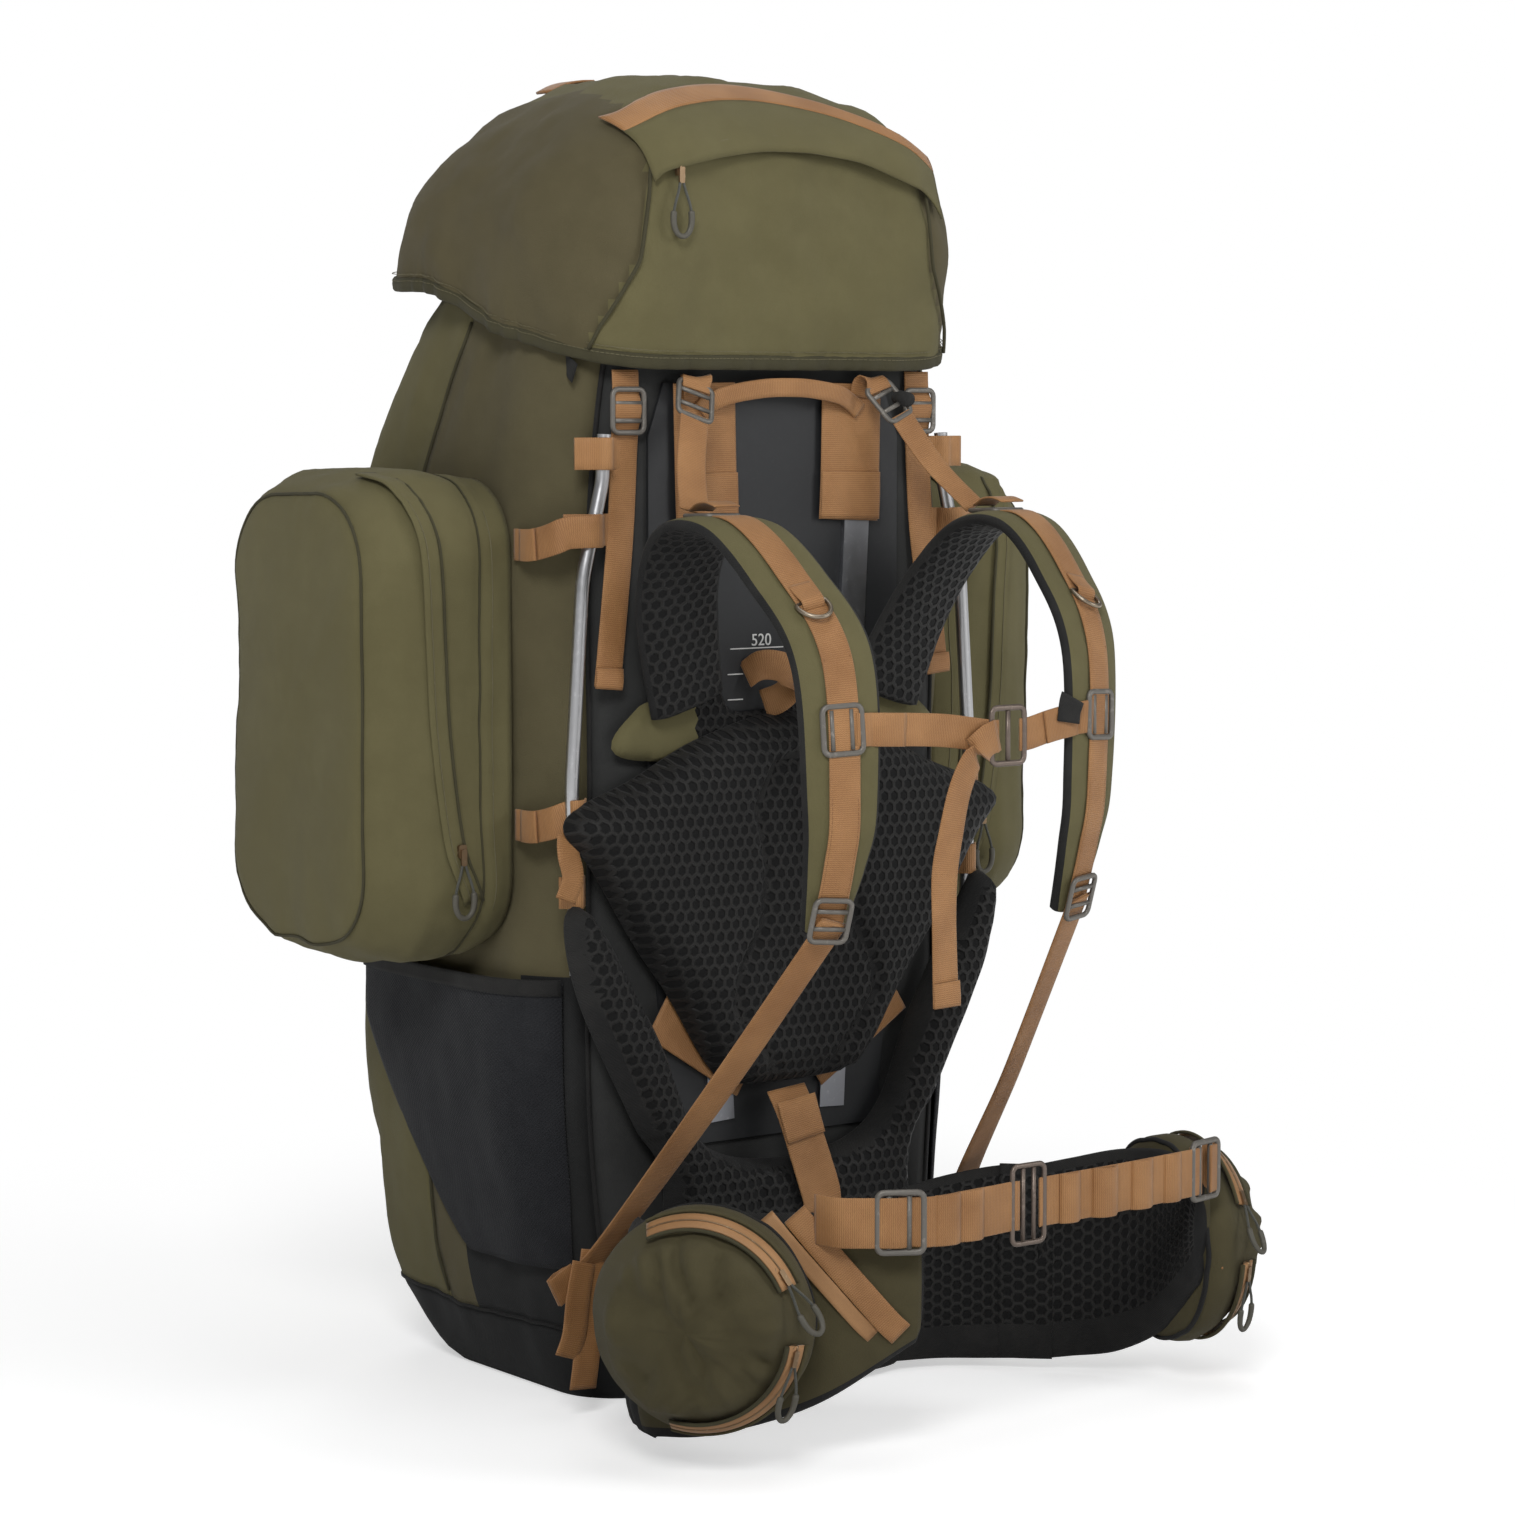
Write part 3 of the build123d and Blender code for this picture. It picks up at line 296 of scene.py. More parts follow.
def make_hex_group():
    """Spacer mesh: rounded six-sided holes in a knitted face."""
    tree, inner, outer = group("hex_mesh", [("UV", "v", None), ("Pitch", "f", 0.0095),
                                            ("Thread", "c", white), ("Hole", "c", white)],
                               effect_outputs)
    plus, minus, times, over, _ = sums(tree)
    u, v = split_uv(tree, inner)
    x = over(u, inner.outputs["Pitch"])
    y = over(v, times(inner.outputs["Pitch"], 1.12))
    root3 = math.sqrt(3)

    def cell(shift_x, shift_y):
        a = math_node(tree, "FLOORED_MODULO", plus(x, shift_x), 1.0)
        b = math_node(tree, "FLOORED_MODULO", plus(y, shift_y), root3)
        a = math_node(tree, "ABSOLUTE", minus(a, 0.5))
        b = math_node(tree, "ABSOLUTE", minus(b, root3 / 2))
        return math_node(tree, "MAXIMUM", a, plus(times(a, 0.5), times(b, root3 / 2)))

    reach = math_node(tree, "MINIMUM", cell(0, 0), cell(0.5, root3 / 2))
    hole = minus(1.0, ramp(tree, reach, 0.27, 0.42))
    fuzz = noise_node(tree, inner.outputs["UV"], 1400, 2)
    return give(tree, outer, Height=plus(times(hole, -1.0), times(fuzz, 0.12)),
                Color=mix_color(tree, hole, inner.outputs["Thread"], inner.outputs["Hole"]),
                Roughness=plus(times(hole, 0.2), 0.6))


def make_metal_group():
    """Cast or bent metal: small scratches, dulled patches and rubbed spots."""
    tree, inner, outer = group("worn_metal", [("Place", "v", None), ("Base", "c", white),
                                              ("Rubbed", "c", white), ("Dullness", "f", 0.35)],
                               effect_outputs)
    plus, _, times, _, _ = sums(tree)
    spots = noise_node(tree, inner.outputs["Place"], 160, 4, 0.7)
    grain = noise_node(tree, inner.outputs["Place"], 1600, 2)
    return give(tree, outer,
                Color=mix_color(tree, ramp(tree, spots, 0.55, 0.75), inner.outputs["Base"],
                                inner.outputs["Rubbed"]),
                Height=plus(spots, times(grain, 0.5)),
                Roughness=plus(times(spots, 0.25), inner.outputs["Dullness"]))


cloth_group = make_cloth_group()
webbing_group = make_webbing_group()
hex_group = make_hex_group()
metal_group = make_metal_group()


def material(name, effect, values, bump, distance, fixed):
    """A material whose color, roughness and bump come from one effect group."""
    made = bpy.data.materials.new(name)
    made.use_nodes = True
    tree = made.node_tree
    shader = tree.nodes["Principled BSDF"]
    coordinates = tree.nodes.new("ShaderNodeTexCoord")
    node = tree.nodes.new("ShaderNodeGroup")
    node.node_tree = effect
    for socket in node.inputs:
        if socket.name == "UV":
            tree.links.new(coordinates.outputs["UV"], socket)
        elif socket.name == "Place":
            tree.links.new(coordinates.outputs["Object"], socket)
        elif socket.name in values:
            value = values[socket.name]
            socket.default_value = (*value, 1) if isinstance(value, tuple) else value
    bumped = new_node(tree, "ShaderNodeBump", Strength=bump, Distance=distance)
    wire(tree, (node.outputs["Color"], shader.inputs["Base Color"]),
         (node.outputs["Roughness"], shader.inputs["Roughness"]),
         (node.outputs["Height"], bumped.inputs["Height"]),
         (bumped.outputs["Normal"], shader.inputs["Normal"]))
    for label, value in fixed.items():
        shader.inputs[label].default_value = value
    return made


def cloth(name, base, worn, thread=0.0009, contrast=0.7, bump=0.45, sheen=0.04, distance=0.0007):
    return material(name, cloth_group, {"Base": base, "Worn": worn, "Thread": thread,
                                        "Contrast": contrast}, bump, distance,
                    {"Sheen Weight": sheen, "Sheen Roughness": 0.5,
                     "Specular IOR Level": 0.25})


def metal(name, base, rubbed, dull, metallic=1.0):
    return material(name, metal_group, {"Base": base, "Rubbed": rubbed, "Dullness": dull},
                    0.15, 0.0002, {"Metallic": metallic})


olive = cloth("olive_canvas", (0.124, 0.109, 0.048), (0.152, 0.135, 0.063))
shaded_olive = cloth("shaded_olive_canvas", (0.098, 0.083, 0.042), (0.122, 0.105, 0.054))
brown_olive = cloth("brown_olive_canvas", (0.091, 0.076, 0.037), (0.113, 0.095, 0.049))
# a darker copy of the olive canvas: painted shade for the low hip belt wings, their pockets and
# flaps
hip_olive_painted_shade = cloth("hip_canvas_painted_shade", (0.068, 0.057, 0.026), (0.09, 0.077, 0.037))
olive_binding = cloth("olive_binding", (0.05, 0.045, 0.023), (0.075, 0.068, 0.036), 0.0016,
                      bump=0.6)
black_nylon = cloth("black_nylon", (0.013, 0.0135, 0.0135), (0.026, 0.026, 0.026), 0.0022,
                    bump=0.3)
charcoal_lining = cloth("charcoal_lining", (0.028, 0.0285, 0.028), (0.043, 0.044, 0.042), 0.0015,
                        bump=0.3)
stretch_weave = cloth("stretch_weave", (0.0105, 0.0112, 0.0135), (0.024, 0.025, 0.028), 0.0032,
                      bump=0.8, sheen=0.06)
black_binding = cloth("black_binding", (0.012, 0.012, 0.012), (0.03, 0.029, 0.027), 0.0018,
                      bump=0.6)
tan_webbing = material("tan_webbing", webbing_group,
                       {"Base": (0.265, 0.118, 0.037), "Lit": (0.43, 0.215, 0.08)}, 0.5, 0.0005,
                       {"Sheen Weight": 0.15, "Sheen Roughness": 0.4})
satin_binding = material("satin_binding", webbing_group,
                         {"Base": (0.29, 0.145, 0.055), "Lit": (0.44, 0.235, 0.1),
                          "Rib": 0.0009}, 0.2, 0.0003,
                         {"Sheen Weight": 0.2, "Sheen Roughness": 0.3})
spacer_mesh = material("spacer_mesh", hex_group,
                       {"Thread": (0.0155, 0.0148, 0.0138), "Hole": (0.0022, 0.0022, 0.0022)},
                       1.0, 0.0025, {"Specular IOR Level": 0.3, "Sheen Weight": 0.04})
buckle_metal = metal("buckle_metal", (0.17, 0.158, 0.14), (0.3, 0.28, 0.25), 0.34, 0.45)
hook_metal = metal("hook_metal", (0.19, 0.15, 0.125), (0.33, 0.27, 0.23), 0.3, 0.7)
ring_metal = metal("ring_metal", (0.3, 0.25, 0.19), (0.45, 0.38, 0.3), 0.25, 0.9)
zip_metal = metal("zip_metal", (0.25, 0.17, 0.1), (0.46, 0.36, 0.25), 0.3, 0.9)
tube_alloy = metal("tube_alloy", (0.55, 0.55, 0.56), (0.66, 0.66, 0.67), 0.22)
stay_alloy = metal("stay_alloy", (0.38, 0.39, 0.42), (0.5, 0.51, 0.53), 0.3)
board_plastic = metal("board_plastic", (0.016, 0.017, 0.0185), (0.024, 0.025, 0.027), 0.42, 0.0)
cord_braid = material("cord_braid", webbing_group,
                      {"Base": (0.05, 0.052, 0.042), "Lit": (0.1, 0.1, 0.085), "Rib": 0.0011},
                      0.5, 0.0003, {"Sheen Weight": 0.1})
cord_grip = metal("cord_grip", (0.085, 0.079, 0.061), (0.125, 0.118, 0.095), 0.42, 0.0)
thread_olive = metal("thread_olive", (0.13, 0.115, 0.06), (0.19, 0.17, 0.1), 0.55, 0.0)
thread_tan = metal("thread_tan", (0.2, 0.09, 0.03), (0.3, 0.15, 0.06), 0.5, 0.0)
scale_print = metal("scale_print", (0.72, 0.72, 0.7), (0.8, 0.8, 0.78), 0.5, 0.0)

# ------------------------------------------------------------------ mesh helpers


def arr(points):
    return np.array(points, float)


def unit(v):
    v = arr(v)
    return v / max(np.linalg.norm(v), 1e-9)


def smooth_line(points, step=5.0, extra=(), closed=False):
    """Catmull-Rom through points, evenly resampled; extra columns ride along."""
    pts = np.hstack([arr(points)] + [arr(e).reshape(len(points), -1) for e in extra])
    if closed:
        ends = (pts[-1:], pts[:1], pts[1:2])
        pts = np.vstack([ends[0], pts, ends[1], ends[2]])
    else:
        pts = np.vstack([2 * pts[:1] - pts[1:2], pts, 2 * pts[-1:] - pts[-2:-1]])
    fine = []
    t = np.linspace(0, 1, 24, endpoint=False)[:, None]
    for i in range(1, len(pts) - 2):
        a, b, c, d = pts[i - 1:i + 3]
        fine.append(0.5 * ((2 * b) + (c - a) * t + (2 * a - 5 * b + 4 * c - d) * t ** 2
                           + (3 * b - a - 3 * c + d) * t ** 3))
    fine.append(pts[-2:-1])
    fine = np.vstack(fine)
    run = np.r_[0, np.cumsum(np.linalg.norm(np.diff(fine[:, :3], axis=0), axis=1))]
    count = max(3, int(round(run[-1] / step)) + 1)
    at = np.linspace(0, run[-1], count)
    return np.stack([np.interp(at, run, fine[:, k]) for k in range(fine.shape[1])], 1)


def tangents(line, closed=False):
    if closed:
        way = np.roll(line, -1, 0) - np.roll(line, 1, 0)
    else:
        way = np.gradient(line, axis=0)
    return way / np.linalg.norm(way, axis=1)[:, None]


def finish_mesh(name, verts, faces, uvs, body, slot, mats, face_mats=None, smooth=True,
                stands_for=(), thickness=0.0, padded=None):
    """Builds a piece from millimetre points and settles its wall, body and finish."""
    mesh = bpy.data.meshes.new(name)
    mesh.from_pydata([tuple(v * MM) for v in arr(verts)], [], [tuple(f) for f in faces])
    # a list of materials, of which face_mats picks one a face
    mats = mats if isinstance(mats, (list, tuple)) else [mats]
    for one in mats:
        mesh.materials.append(one)
    if uvs is not None:
        layer = mesh.uv_layers.new(name="UVMap")
        flat = [c for face in uvs for corner in face for c in (corner[0] * MM, corner[1] * MM)]
        layer.data.foreach_set("uv", flat)
    if face_mats is not None:
        mesh.polygons.foreach_set("material_index", list(face_mats))
    mesh.polygons.foreach_set("use_smooth", [smooth] * len(mesh.polygons))
    obj = bpy.data.objects.new(name, mesh)
    scene.collection.objects.link(obj)
    if thickness:
        wall = obj.modifiers.new("wall", "SOLIDIFY")
        wall.thickness = abs(thickness) * MM
        wall.offset = -1 if thickness > 0 else 1
        bake_down(obj)
    settle_normals(obj.data)
    if isinstance(body, tuple):
        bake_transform(obj)
    else:
        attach(obj, body)
    if stands_for:
        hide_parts(*stands_for)
    return obj


def bake_down(obj):
    """Applies the modifiers, so the piece is a plain mesh."""
    graph = bpy.context.evaluated_depsgraph_get()
    graph.update()
    baked = bpy.data.meshes.new_from_object(obj.evaluated_get(graph), depsgraph=graph)
    old = obj.data
    obj.modifiers.clear()
    obj.data = baked
    bpy.data.meshes.remove(old)


def settle_normals(mesh):
    """Turns a closed shell so its faces point outwards."""
    work = bmesh.new()
    work.from_mesh(mesh)
    bmesh.ops.recalc_face_normals(work, faces=work.faces)
    if work.calc_volume(signed=True) < 0:
        bmesh.ops.reverse_faces(work, faces=work.faces)
    work.to_mesh(mesh)
    work.free()


def grid_parts(points, wrap, cap=(False, False)):
    """Vertices, faces and UVs of a grid of points, rows by columns, closed across if wrap."""
    rows, cols, _ = points.shape
    ring = np.concatenate([points, points[:, :1]], 1) if wrap else points
    du = np.linalg.norm(np.diff(ring, axis=1), axis=2)
    u = np.concatenate([np.zeros((rows, 1)), np.cumsum(du, 1)], 1)
    u = np.repeat(u.mean(0)[None], rows, 0)
    dv = np.linalg.norm(np.diff(points, axis=0), axis=2).mean(1)
    v = np.repeat(np.r_[0, np.cumsum(dv)][:, None], u.shape[1], 1)
    faces, uvs = [], []
    last = cols if wrap else cols - 1
    for i in range(rows - 1):
        for j in range(last):
            k = (j + 1) % cols
            faces.append((i * cols + j, i * cols + k, (i + 1) * cols + k, (i + 1) * cols + j))
            uvs.append(((u[i, j], v[i, j]), (u[i, j + 1], v[i, j + 1]),
                        (u[i + 1, j + 1], v[i + 1, j + 1]), (u[i + 1, j], v[i + 1, j])))
    for wanted, row in zip(cap, (0, rows - 1)):
        if wanted:
            order = list(range(cols)) if row else list(range(cols - 1, -1, -1))
            faces.append(tuple(row * cols + j for j in order))
            uvs.append(tuple((u[row, j], v[row, j]) for j in order))
    return points.reshape(-1, 3), faces, uvs


def rumple(points, normals, sizes):
    """Moves points along their normals by layered noise; sizes are (scale, amount) pairs."""
    flat, out = points.reshape(-1, 3), normals.reshape(-1, 3)
    moved = flat.copy()
    for scale, amount in sizes:
        lift = np.array([noise.noise(Vector(p)) for p in flat / scale])
        moved += out * (lift * amount)[:, None]
    return moved.reshape(points.shape)


def grid_normals(points, wrap):
    """Outward-ish normals of a grid, from its two directions."""
    if wrap:
        across = np.roll(points, -1, 1) - np.roll(points, 1, 1)
    else:
        across = np.gradient(points, axis=1)
    along = np.gradient(points, axis=0)
    n = np.cross(across, along)
    return n / np.maximum(np.linalg.norm(n, axis=2), 1e-9)[..., None]


def outward(grid, centre):
    """Normals of a closed grid, each turned away from its centre."""
    out = grid_normals(grid, True)
    flip = np.sign(((grid - arr(centre)) * out).sum(2))[..., None]
    return out * np.where(flip == 0, 1, flip)


def fold_noise(grid, *layers):
    """Layered noise over a grid; a layer is its height and a function that scales a point."""
    lift = arr([sum(noise.noise(Vector(scaled(*p))) * height for height, scaled in layers)
                for p in grid.reshape(-1, 3)])
    return lift.reshape(grid.shape[:2])[..., None]


# ------------------------------------------------------------------ straps


def band(points, across, width, thickness=1.7, step=4.0):
    """A webbing strap's shell; across is its width direction, one or one a point."""
    points = arr(points)
    across = arr(across)
    if across.ndim == 1:
        across = np.repeat(across[None], len(points), 0)
    widths = np.broadcast_to(arr(width), (len(points),)).reshape(-1, 1)
    line = smooth_line(points, step, (across, widths))
    centre, side, wide = line[:, :3], line[:, 3:6], line[:, 6]
    way = tangents(centre)
    side = side - way * (side * way).sum(1)[:, None]
    side /= np.linalg.norm(side, axis=1)[:, None]
    up = np.cross(way, side)
    half = thickness / 2
    ring = []
    for x, y in ((-0.5, -0.35), (-0.5, 0.35), (-0.47, 1), (-0.25, 1), (0, 1), (0.25, 1),
                 (0.47, 1), (0.5, 0.35), (0.5, -0.35), (0.47, -1), (0.25, -1), (0, -1),
                 (-0.25, -1), (-0.47, -1)):
        ring.append(centre + side * (x * wide)[:, None] + up * (y * half))
    return grid_parts(np.stack(ring, 1), True, (True, True))


def strap(name, points, across, width, body, mats=None, slot="webbing", stands_for=(), **more):
    """A webbing strap as a piece of its own."""
    return finish_mesh(name, *band(points, across, width, **more), body, slot,
                       mats or tan_webbing, stands_for=stands_for)


def joined(name, parts, body, slot, mats, **more):
    """Several closed shells as one piece."""
    verts, faces, uvs, base = [], [], [], 0
    for v, f, t in parts:
        verts.append(v)
        faces += [tuple(i + base for i in face) for face in f]
        uvs += t
        base += len(v)
    return finish_mesh(name, np.vstack(verts), faces, uvs, body, slot, mats, **more)


def tube_parts(line, radius, closed=False, flat=1.0, sides_count=10, facing=None):
    """A round or flattened tube along a line of points."""
    line = arr(line)
    way = tangents(line, closed)
    guide = arr(facing if facing is not None else (0.31, 0.22, 0.93))
    a = np.cross(way, guide)
    a /= np.maximum(np.linalg.norm(a, axis=1), 1e-9)[:, None]
    b = np.cross(way, a)
    radii = np.broadcast_to(arr(radius), (len(line),))[:, None]
    ring = [line + (a * math.cos(t) + b * math.sin(t) * flat) * radii
            for t in np.linspace(0, 2 * math.pi, sides_count, endpoint=False)]
    grid = np.stack(ring, 1)
    if closed:
        grid = np.concatenate([grid, grid[:1]], 0)
        verts, faces, uvs = grid_parts(grid, True)
        count = (len(grid) - 1) * grid.shape[1]
        faces = [tuple(i % count for i in f) for f in faces]
        return verts[:count], faces, uvs
    return grid_parts(grid, True, (True, True))


def piping(name, line, radius, body, slot, mats, closed=False, stands_for=(), **more):
    """A tube along a line, as a piece of its own."""
    return finish_mesh(name, *tube_parts(line, radius, closed, **more), body, slot, mats,
                       stands_for=stands_for)


def box_parts(centre, x_way, y_way, size):
    """A block with its own axes, as one closed shell."""
    x_way, y_way = unit(x_way), unit(y_way)
    z_way = np.cross(x_way, y_way)
    hx, hy, hz = arr(size) / 2
    verts = [arr(centre) + x_way * a * hx + y_way * b * hy + z_way * c * hz
             for a in (-1, 1) for b in (-1, 1) for c in (-1, 1)]
    faces = [(0, 1, 3, 2), (4, 6, 7, 5), (0, 4, 5, 1), (2, 3, 7, 6), (0, 2, 6, 4), (1, 5, 7, 3)]
    uvs = [((0, 0), (1, 0), (1, 1), (0, 1))] * 6
    return arr(verts), faces, uvs


def plate_line(centre, x_way, y_way, width, height, radius, count=5):
    """A rounded rectangle's outline as a closed line."""
    x_way, y_way = unit(x_way), unit(y_way)
    line = []
    for cx, cy, start in ((1, 1, 0), (-1, 1, 90), (-1, -1, 180), (1, -1, 270)):
        for k in range(count):
            t = math.radians(start + 90 * k / (count - 1))
            line.append(arr(centre) + x_way * (cx * (width / 2 - radius) + radius * math.cos(t))
                        + y_way * (cy * (height / 2 - radius) + radius * math.sin(t)))
    return arr(line)


def buckle_parts(centre, x_way, y_way, width, height, bars=(0.0,), thick=4.4, deep=4.0):
    """A ladder lock: a rounded frame with cross bars."""
    normal = np.cross(unit(x_way), unit(y_way))
    frame_line = plate_line(centre, x_way, y_way, width - thick, height - thick, 5.0)
    parts = [tube_parts(frame_line, thick / 2, True, flat=deep / thick, sides_count=10,
                        facing=normal)]
    for at in bars:
        middle = arr(centre) + unit(y_way) * at * height
        ends = [middle - unit(x_way) * (width / 2 - thick), middle,
                middle + unit(x_way) * (width / 2 - thick)]
        parts.append(tube_parts(ends, thick / 2 * 0.86, flat=0.8, facing=normal))
    return parts


def pad_parts(outline, height_at, pitch=7.0):
    """A stuffed pad over a closed outline in two axes: its points, faces and lifts.

    height_at gives the lift of its face from distance to the outline and the point.
    """
    outline = arr(outline)
    edge = eased(outline, pitch * 0.9, True)[:-1]
    low, high = edge.min(0), edge.max(0)
    us, vs = np.meshgrid(np.arange(low[0], high[0], pitch), np.arange(low[1], high[1], pitch))
    us = us + np.where(np.arange(us.shape[0]) % 2, pitch / 2, 0)[:, None]
    inner = np.c_[us.ravel(), vs.ravel()]
    inner = inner[(outline_distance(inner, edge) > pitch * 0.5) & inside(inner, edge)]
    points = [Vector(p) for p in np.vstack([edge, inner])]
    count = len(edge)
    flat, _, faces, *_ = delaunay_2d_cdt(points, [], [list(range(count))], 1, 1e-4)
    flat = arr([(p.x, p.y) for p in flat])
    lift = height_at(outline_distance(flat, edge), flat)
    return flat, faces, lift


def outline_distance(points, edge):
    """Distance of each point to a closed outline."""
    return line_distance(points, np.vstack([edge, edge[:1]]))


def line_distance(points, line):
    """Distance of each point to an open line."""
    line = arr(line)
    best = np.full(len(points), 1e9)
    for p, q in zip(line, line[1:]):
        way = q - p
        t = np.clip(((points - p) @ way) / max(way @ way, 1e-9), 0, 1)
        best = np.minimum(best, np.linalg.norm(points - p - t[:, None] * way, axis=1))
    return best


def inside(points, edge):
    """Which points lie inside a closed outline."""
    hit = np.zeros(len(points), bool)
    for p, q in zip(edge, np.roll(edge, -1, 0)):
        cross = (p[1] > points[:, 1]) != (q[1] > points[:, 1])
        at = p[0] + (points[:, 1] - p[1]) * (q[0] - p[0]) / (q[1] - p[1] + 1e-12)
        hit ^= cross & (points[:, 0] < at)
    return hit


def upright_pad(name, outline, back, height_at, body, slot, mats, region, pitch=7.0,
                stands_for=(), fill=0.7):
    """A pad standing in XZ with its flat back at y = back and its face towards -Y."""
    flat, faces, lift = pad_parts(outline, height_at, pitch)
    n = len(flat)
    front = np.c_[flat[:, 0], back - lift, flat[:, 1]]
    rear = np.c_[flat[:, 0], np.full(n, back), flat[:, 1]]
    tris = [tuple(f) for f in faces]
    counted = {}
    for f in tris:
        for a, b in zip(f, f[1:] + f[:1]):
            key = (min(a, b), max(a, b))
            counted.setdefault(key, []).append((a, b))
    rim = [e[0] for e in counted.values() if len(e) == 1]
    all_faces = list(tris) + [tuple(i + n for i in reversed(f)) for f in tris]
    all_faces += [(b, a, a + n, b + n) for a, b in rim]
    verts = np.vstack([front, rear])
    # its foot spreads just above the floor
    verts[:, 2] = np.maximum(verts[:, 2], 2.0 + 0.2 * (verts[:, 2] - flat[:, 1].min()))
    uvs = [[(verts[i][0], verts[i][2]) for i in f] for f in all_faces]
    picks = [region(flat[list(f)].mean(0)) for f in tris] + [1] * (len(tris) + len(rim))
    return finish_mesh(name, verts, all_faces, uvs, body, slot, mats, face_mats=picks,
                       stands_for=stands_for, padded=fill)


# ------------------------------------------------------------------ zip pulls

zip_frames = {
    "lid_zip": ((-113, -172.4, 976.67), (0, -1, 0), (0, 0, 1)),
    "side_zip_left": ((-264.5, -91.07, 448), (0, -1, 0), (0, 0, 1)),
    "side_zip_right": ((264.5, -91.07, 448), (0, -1, 0), (0, 0, 1)),
    "hip_zip_upper_left": ((-187.87, -398.742, 157.038), (0.081846, -0.875729, 0.475816),
                           (-0.342217, 0.423697, 0.838671)),
    "hip_zip_lower_left": ((-181.267, -406.918, 100.334), (0.15841, -0.970522, -0.181639),
                           (0.130639, -0.161743, 0.978148)),
    "hip_zip_upper_right": ((281.469, -394.015, 159.219), (0.31624, -0.80554, 0.501097),
                            (0.126867, 0.55937, 0.819152)),
    "hip_zip_lower_right": ((278.708, -406.188, 102.916), (0.284229, -0.946678, -0.151705),
                            (-0.038409, -0.169347, 0.984808)),
}
pull_route = [
    (-1.6, 0, 0), (-3.4, 7, 0.6), (-7.2, 16, 1.2), (-9.2, 26, 1.2), (-8.0, 35, 1.0),
    (-3.2, 41, 0.8), (3.6, 41, 0.6), (8.2, 35, 0.6), (9.2, 25.5, 0.8), (7.0, 15.5, 1.0),
    (3.4, 6.6, 0.5), (1.6, 0, 0),
]


def curve_line(obj):
    """Points along a cord's own line, in millimetres."""
    bevel = obj.data.bevel_depth
    obj.data.bevel_depth = 0
    graph = bpy.context.evaluated_depsgraph_get()
    graph.update()
    mesh = bpy.data.meshes.new_from_object(obj.evaluated_get(graph))
    line = arr([v.co for v in mesh.vertices]) / MM
    bpy.data.meshes.remove(mesh)
    obj.data.bevel_depth = bevel
    return line


def pull_cord(name, origin, outward, along):
    """One hanging loop of thin cord with a moulded grip round its foot."""
    origin, outward, along = arr(origin), arr(outward), arr(along)
    level = np.cross(along, outward)
    points = [origin + level * across - along * (11 + down) + outward * (4.5 + out)
              for across, down, out in pull_route]
    curve = bpy.data.curves.new(f"{name}_cord", "CURVE")
    curve.dimensions = "3D"
    curve.bevel_depth = 1.1 * MM
    curve.bevel_resolution = 3
    curve.resolution_u = 8
    curve.use_fill_caps = True
    spline = curve.splines.new("NURBS")
    spline.points.add(len(points) - 1)
    for point, place in zip(spline.points, points):
        point.co = (*(place * MM), 1)
    spline.order_u = 3
    spline.use_endpoint_u = True
    curve.materials.append(cord_braid)
    obj = bpy.data.objects.new(f"{name}_cord", curve)
    scene.collection.objects.link(obj)
    line = curve_line(obj)
    down = -(line - origin) @ along - 11
    foot = line[down > 21]
    steps = len(foot)
    girth = 2.45 + 0.25 * np.cos(np.linspace(0, 2 * math.pi, steps))
    girth[0] = girth[-1] = 1.9
    grip = finish_mesh(f"{name}_grip", *tube_parts(foot, girth, facing=outward, flat=0.86),
                       name, "pull_cord", cord_grip)
    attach(obj, name)
    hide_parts(f"{name}_pull_cord")


for name, frame_of_zip in zip_frames.items():
    pull_cord(name, *frame_of_zip)

# ------------------------------------------------------------------ bag

bag_stations = arr([
    (0, 165, -130, 120, 55), (45, 186, -143, 166, 70), (190, 210, -145, 190, 80),
    (500, 212, -145, 192, 80), (750, 208, -145, 184, 80), (824, 198, -145, 150, 80),
    (880, 186, -145, 114, 80), (900, 180, -139, 108, 74), (920, 174, -133, 102, 68)])
lid_stations = arr([
    (824, 198, -166, 142, 78), (870, 206, -170, 153, 86), (925, 207, -172, 150, 88),
    (965, 200, -172, 136, 88), (1000, 176, -169, 112, 80), (1036, 130, -128, 88, 62),
    (1058, 90, -84, 62, 44)])


def section_at(stations, z):
    """Half width, rear, front and corner radius at a height, eased between stations."""
    heights = stations[:, 0]
    z = np.clip(z, heights[0], heights[-1])
    k = int(np.clip(np.searchsorted(heights, z) - 1, 0, len(heights) - 2))
    t = (z - heights[k]) / (heights[k + 1] - heights[k])
    slope = np.gradient(stations[:, 1:], heights, axis=0)
    h = heights[k + 1] - heights[k]
    a, b = stations[k, 1:], stations[k + 1, 1:]
    return ((2 * t ** 3 - 3 * t ** 2 + 1) * a + (t ** 3 - 2 * t ** 2 + t) * h * slope[k]
            + (-2 * t ** 3 + 3 * t ** 2) * b + (t ** 3 - t ** 2) * h * slope[k + 1])


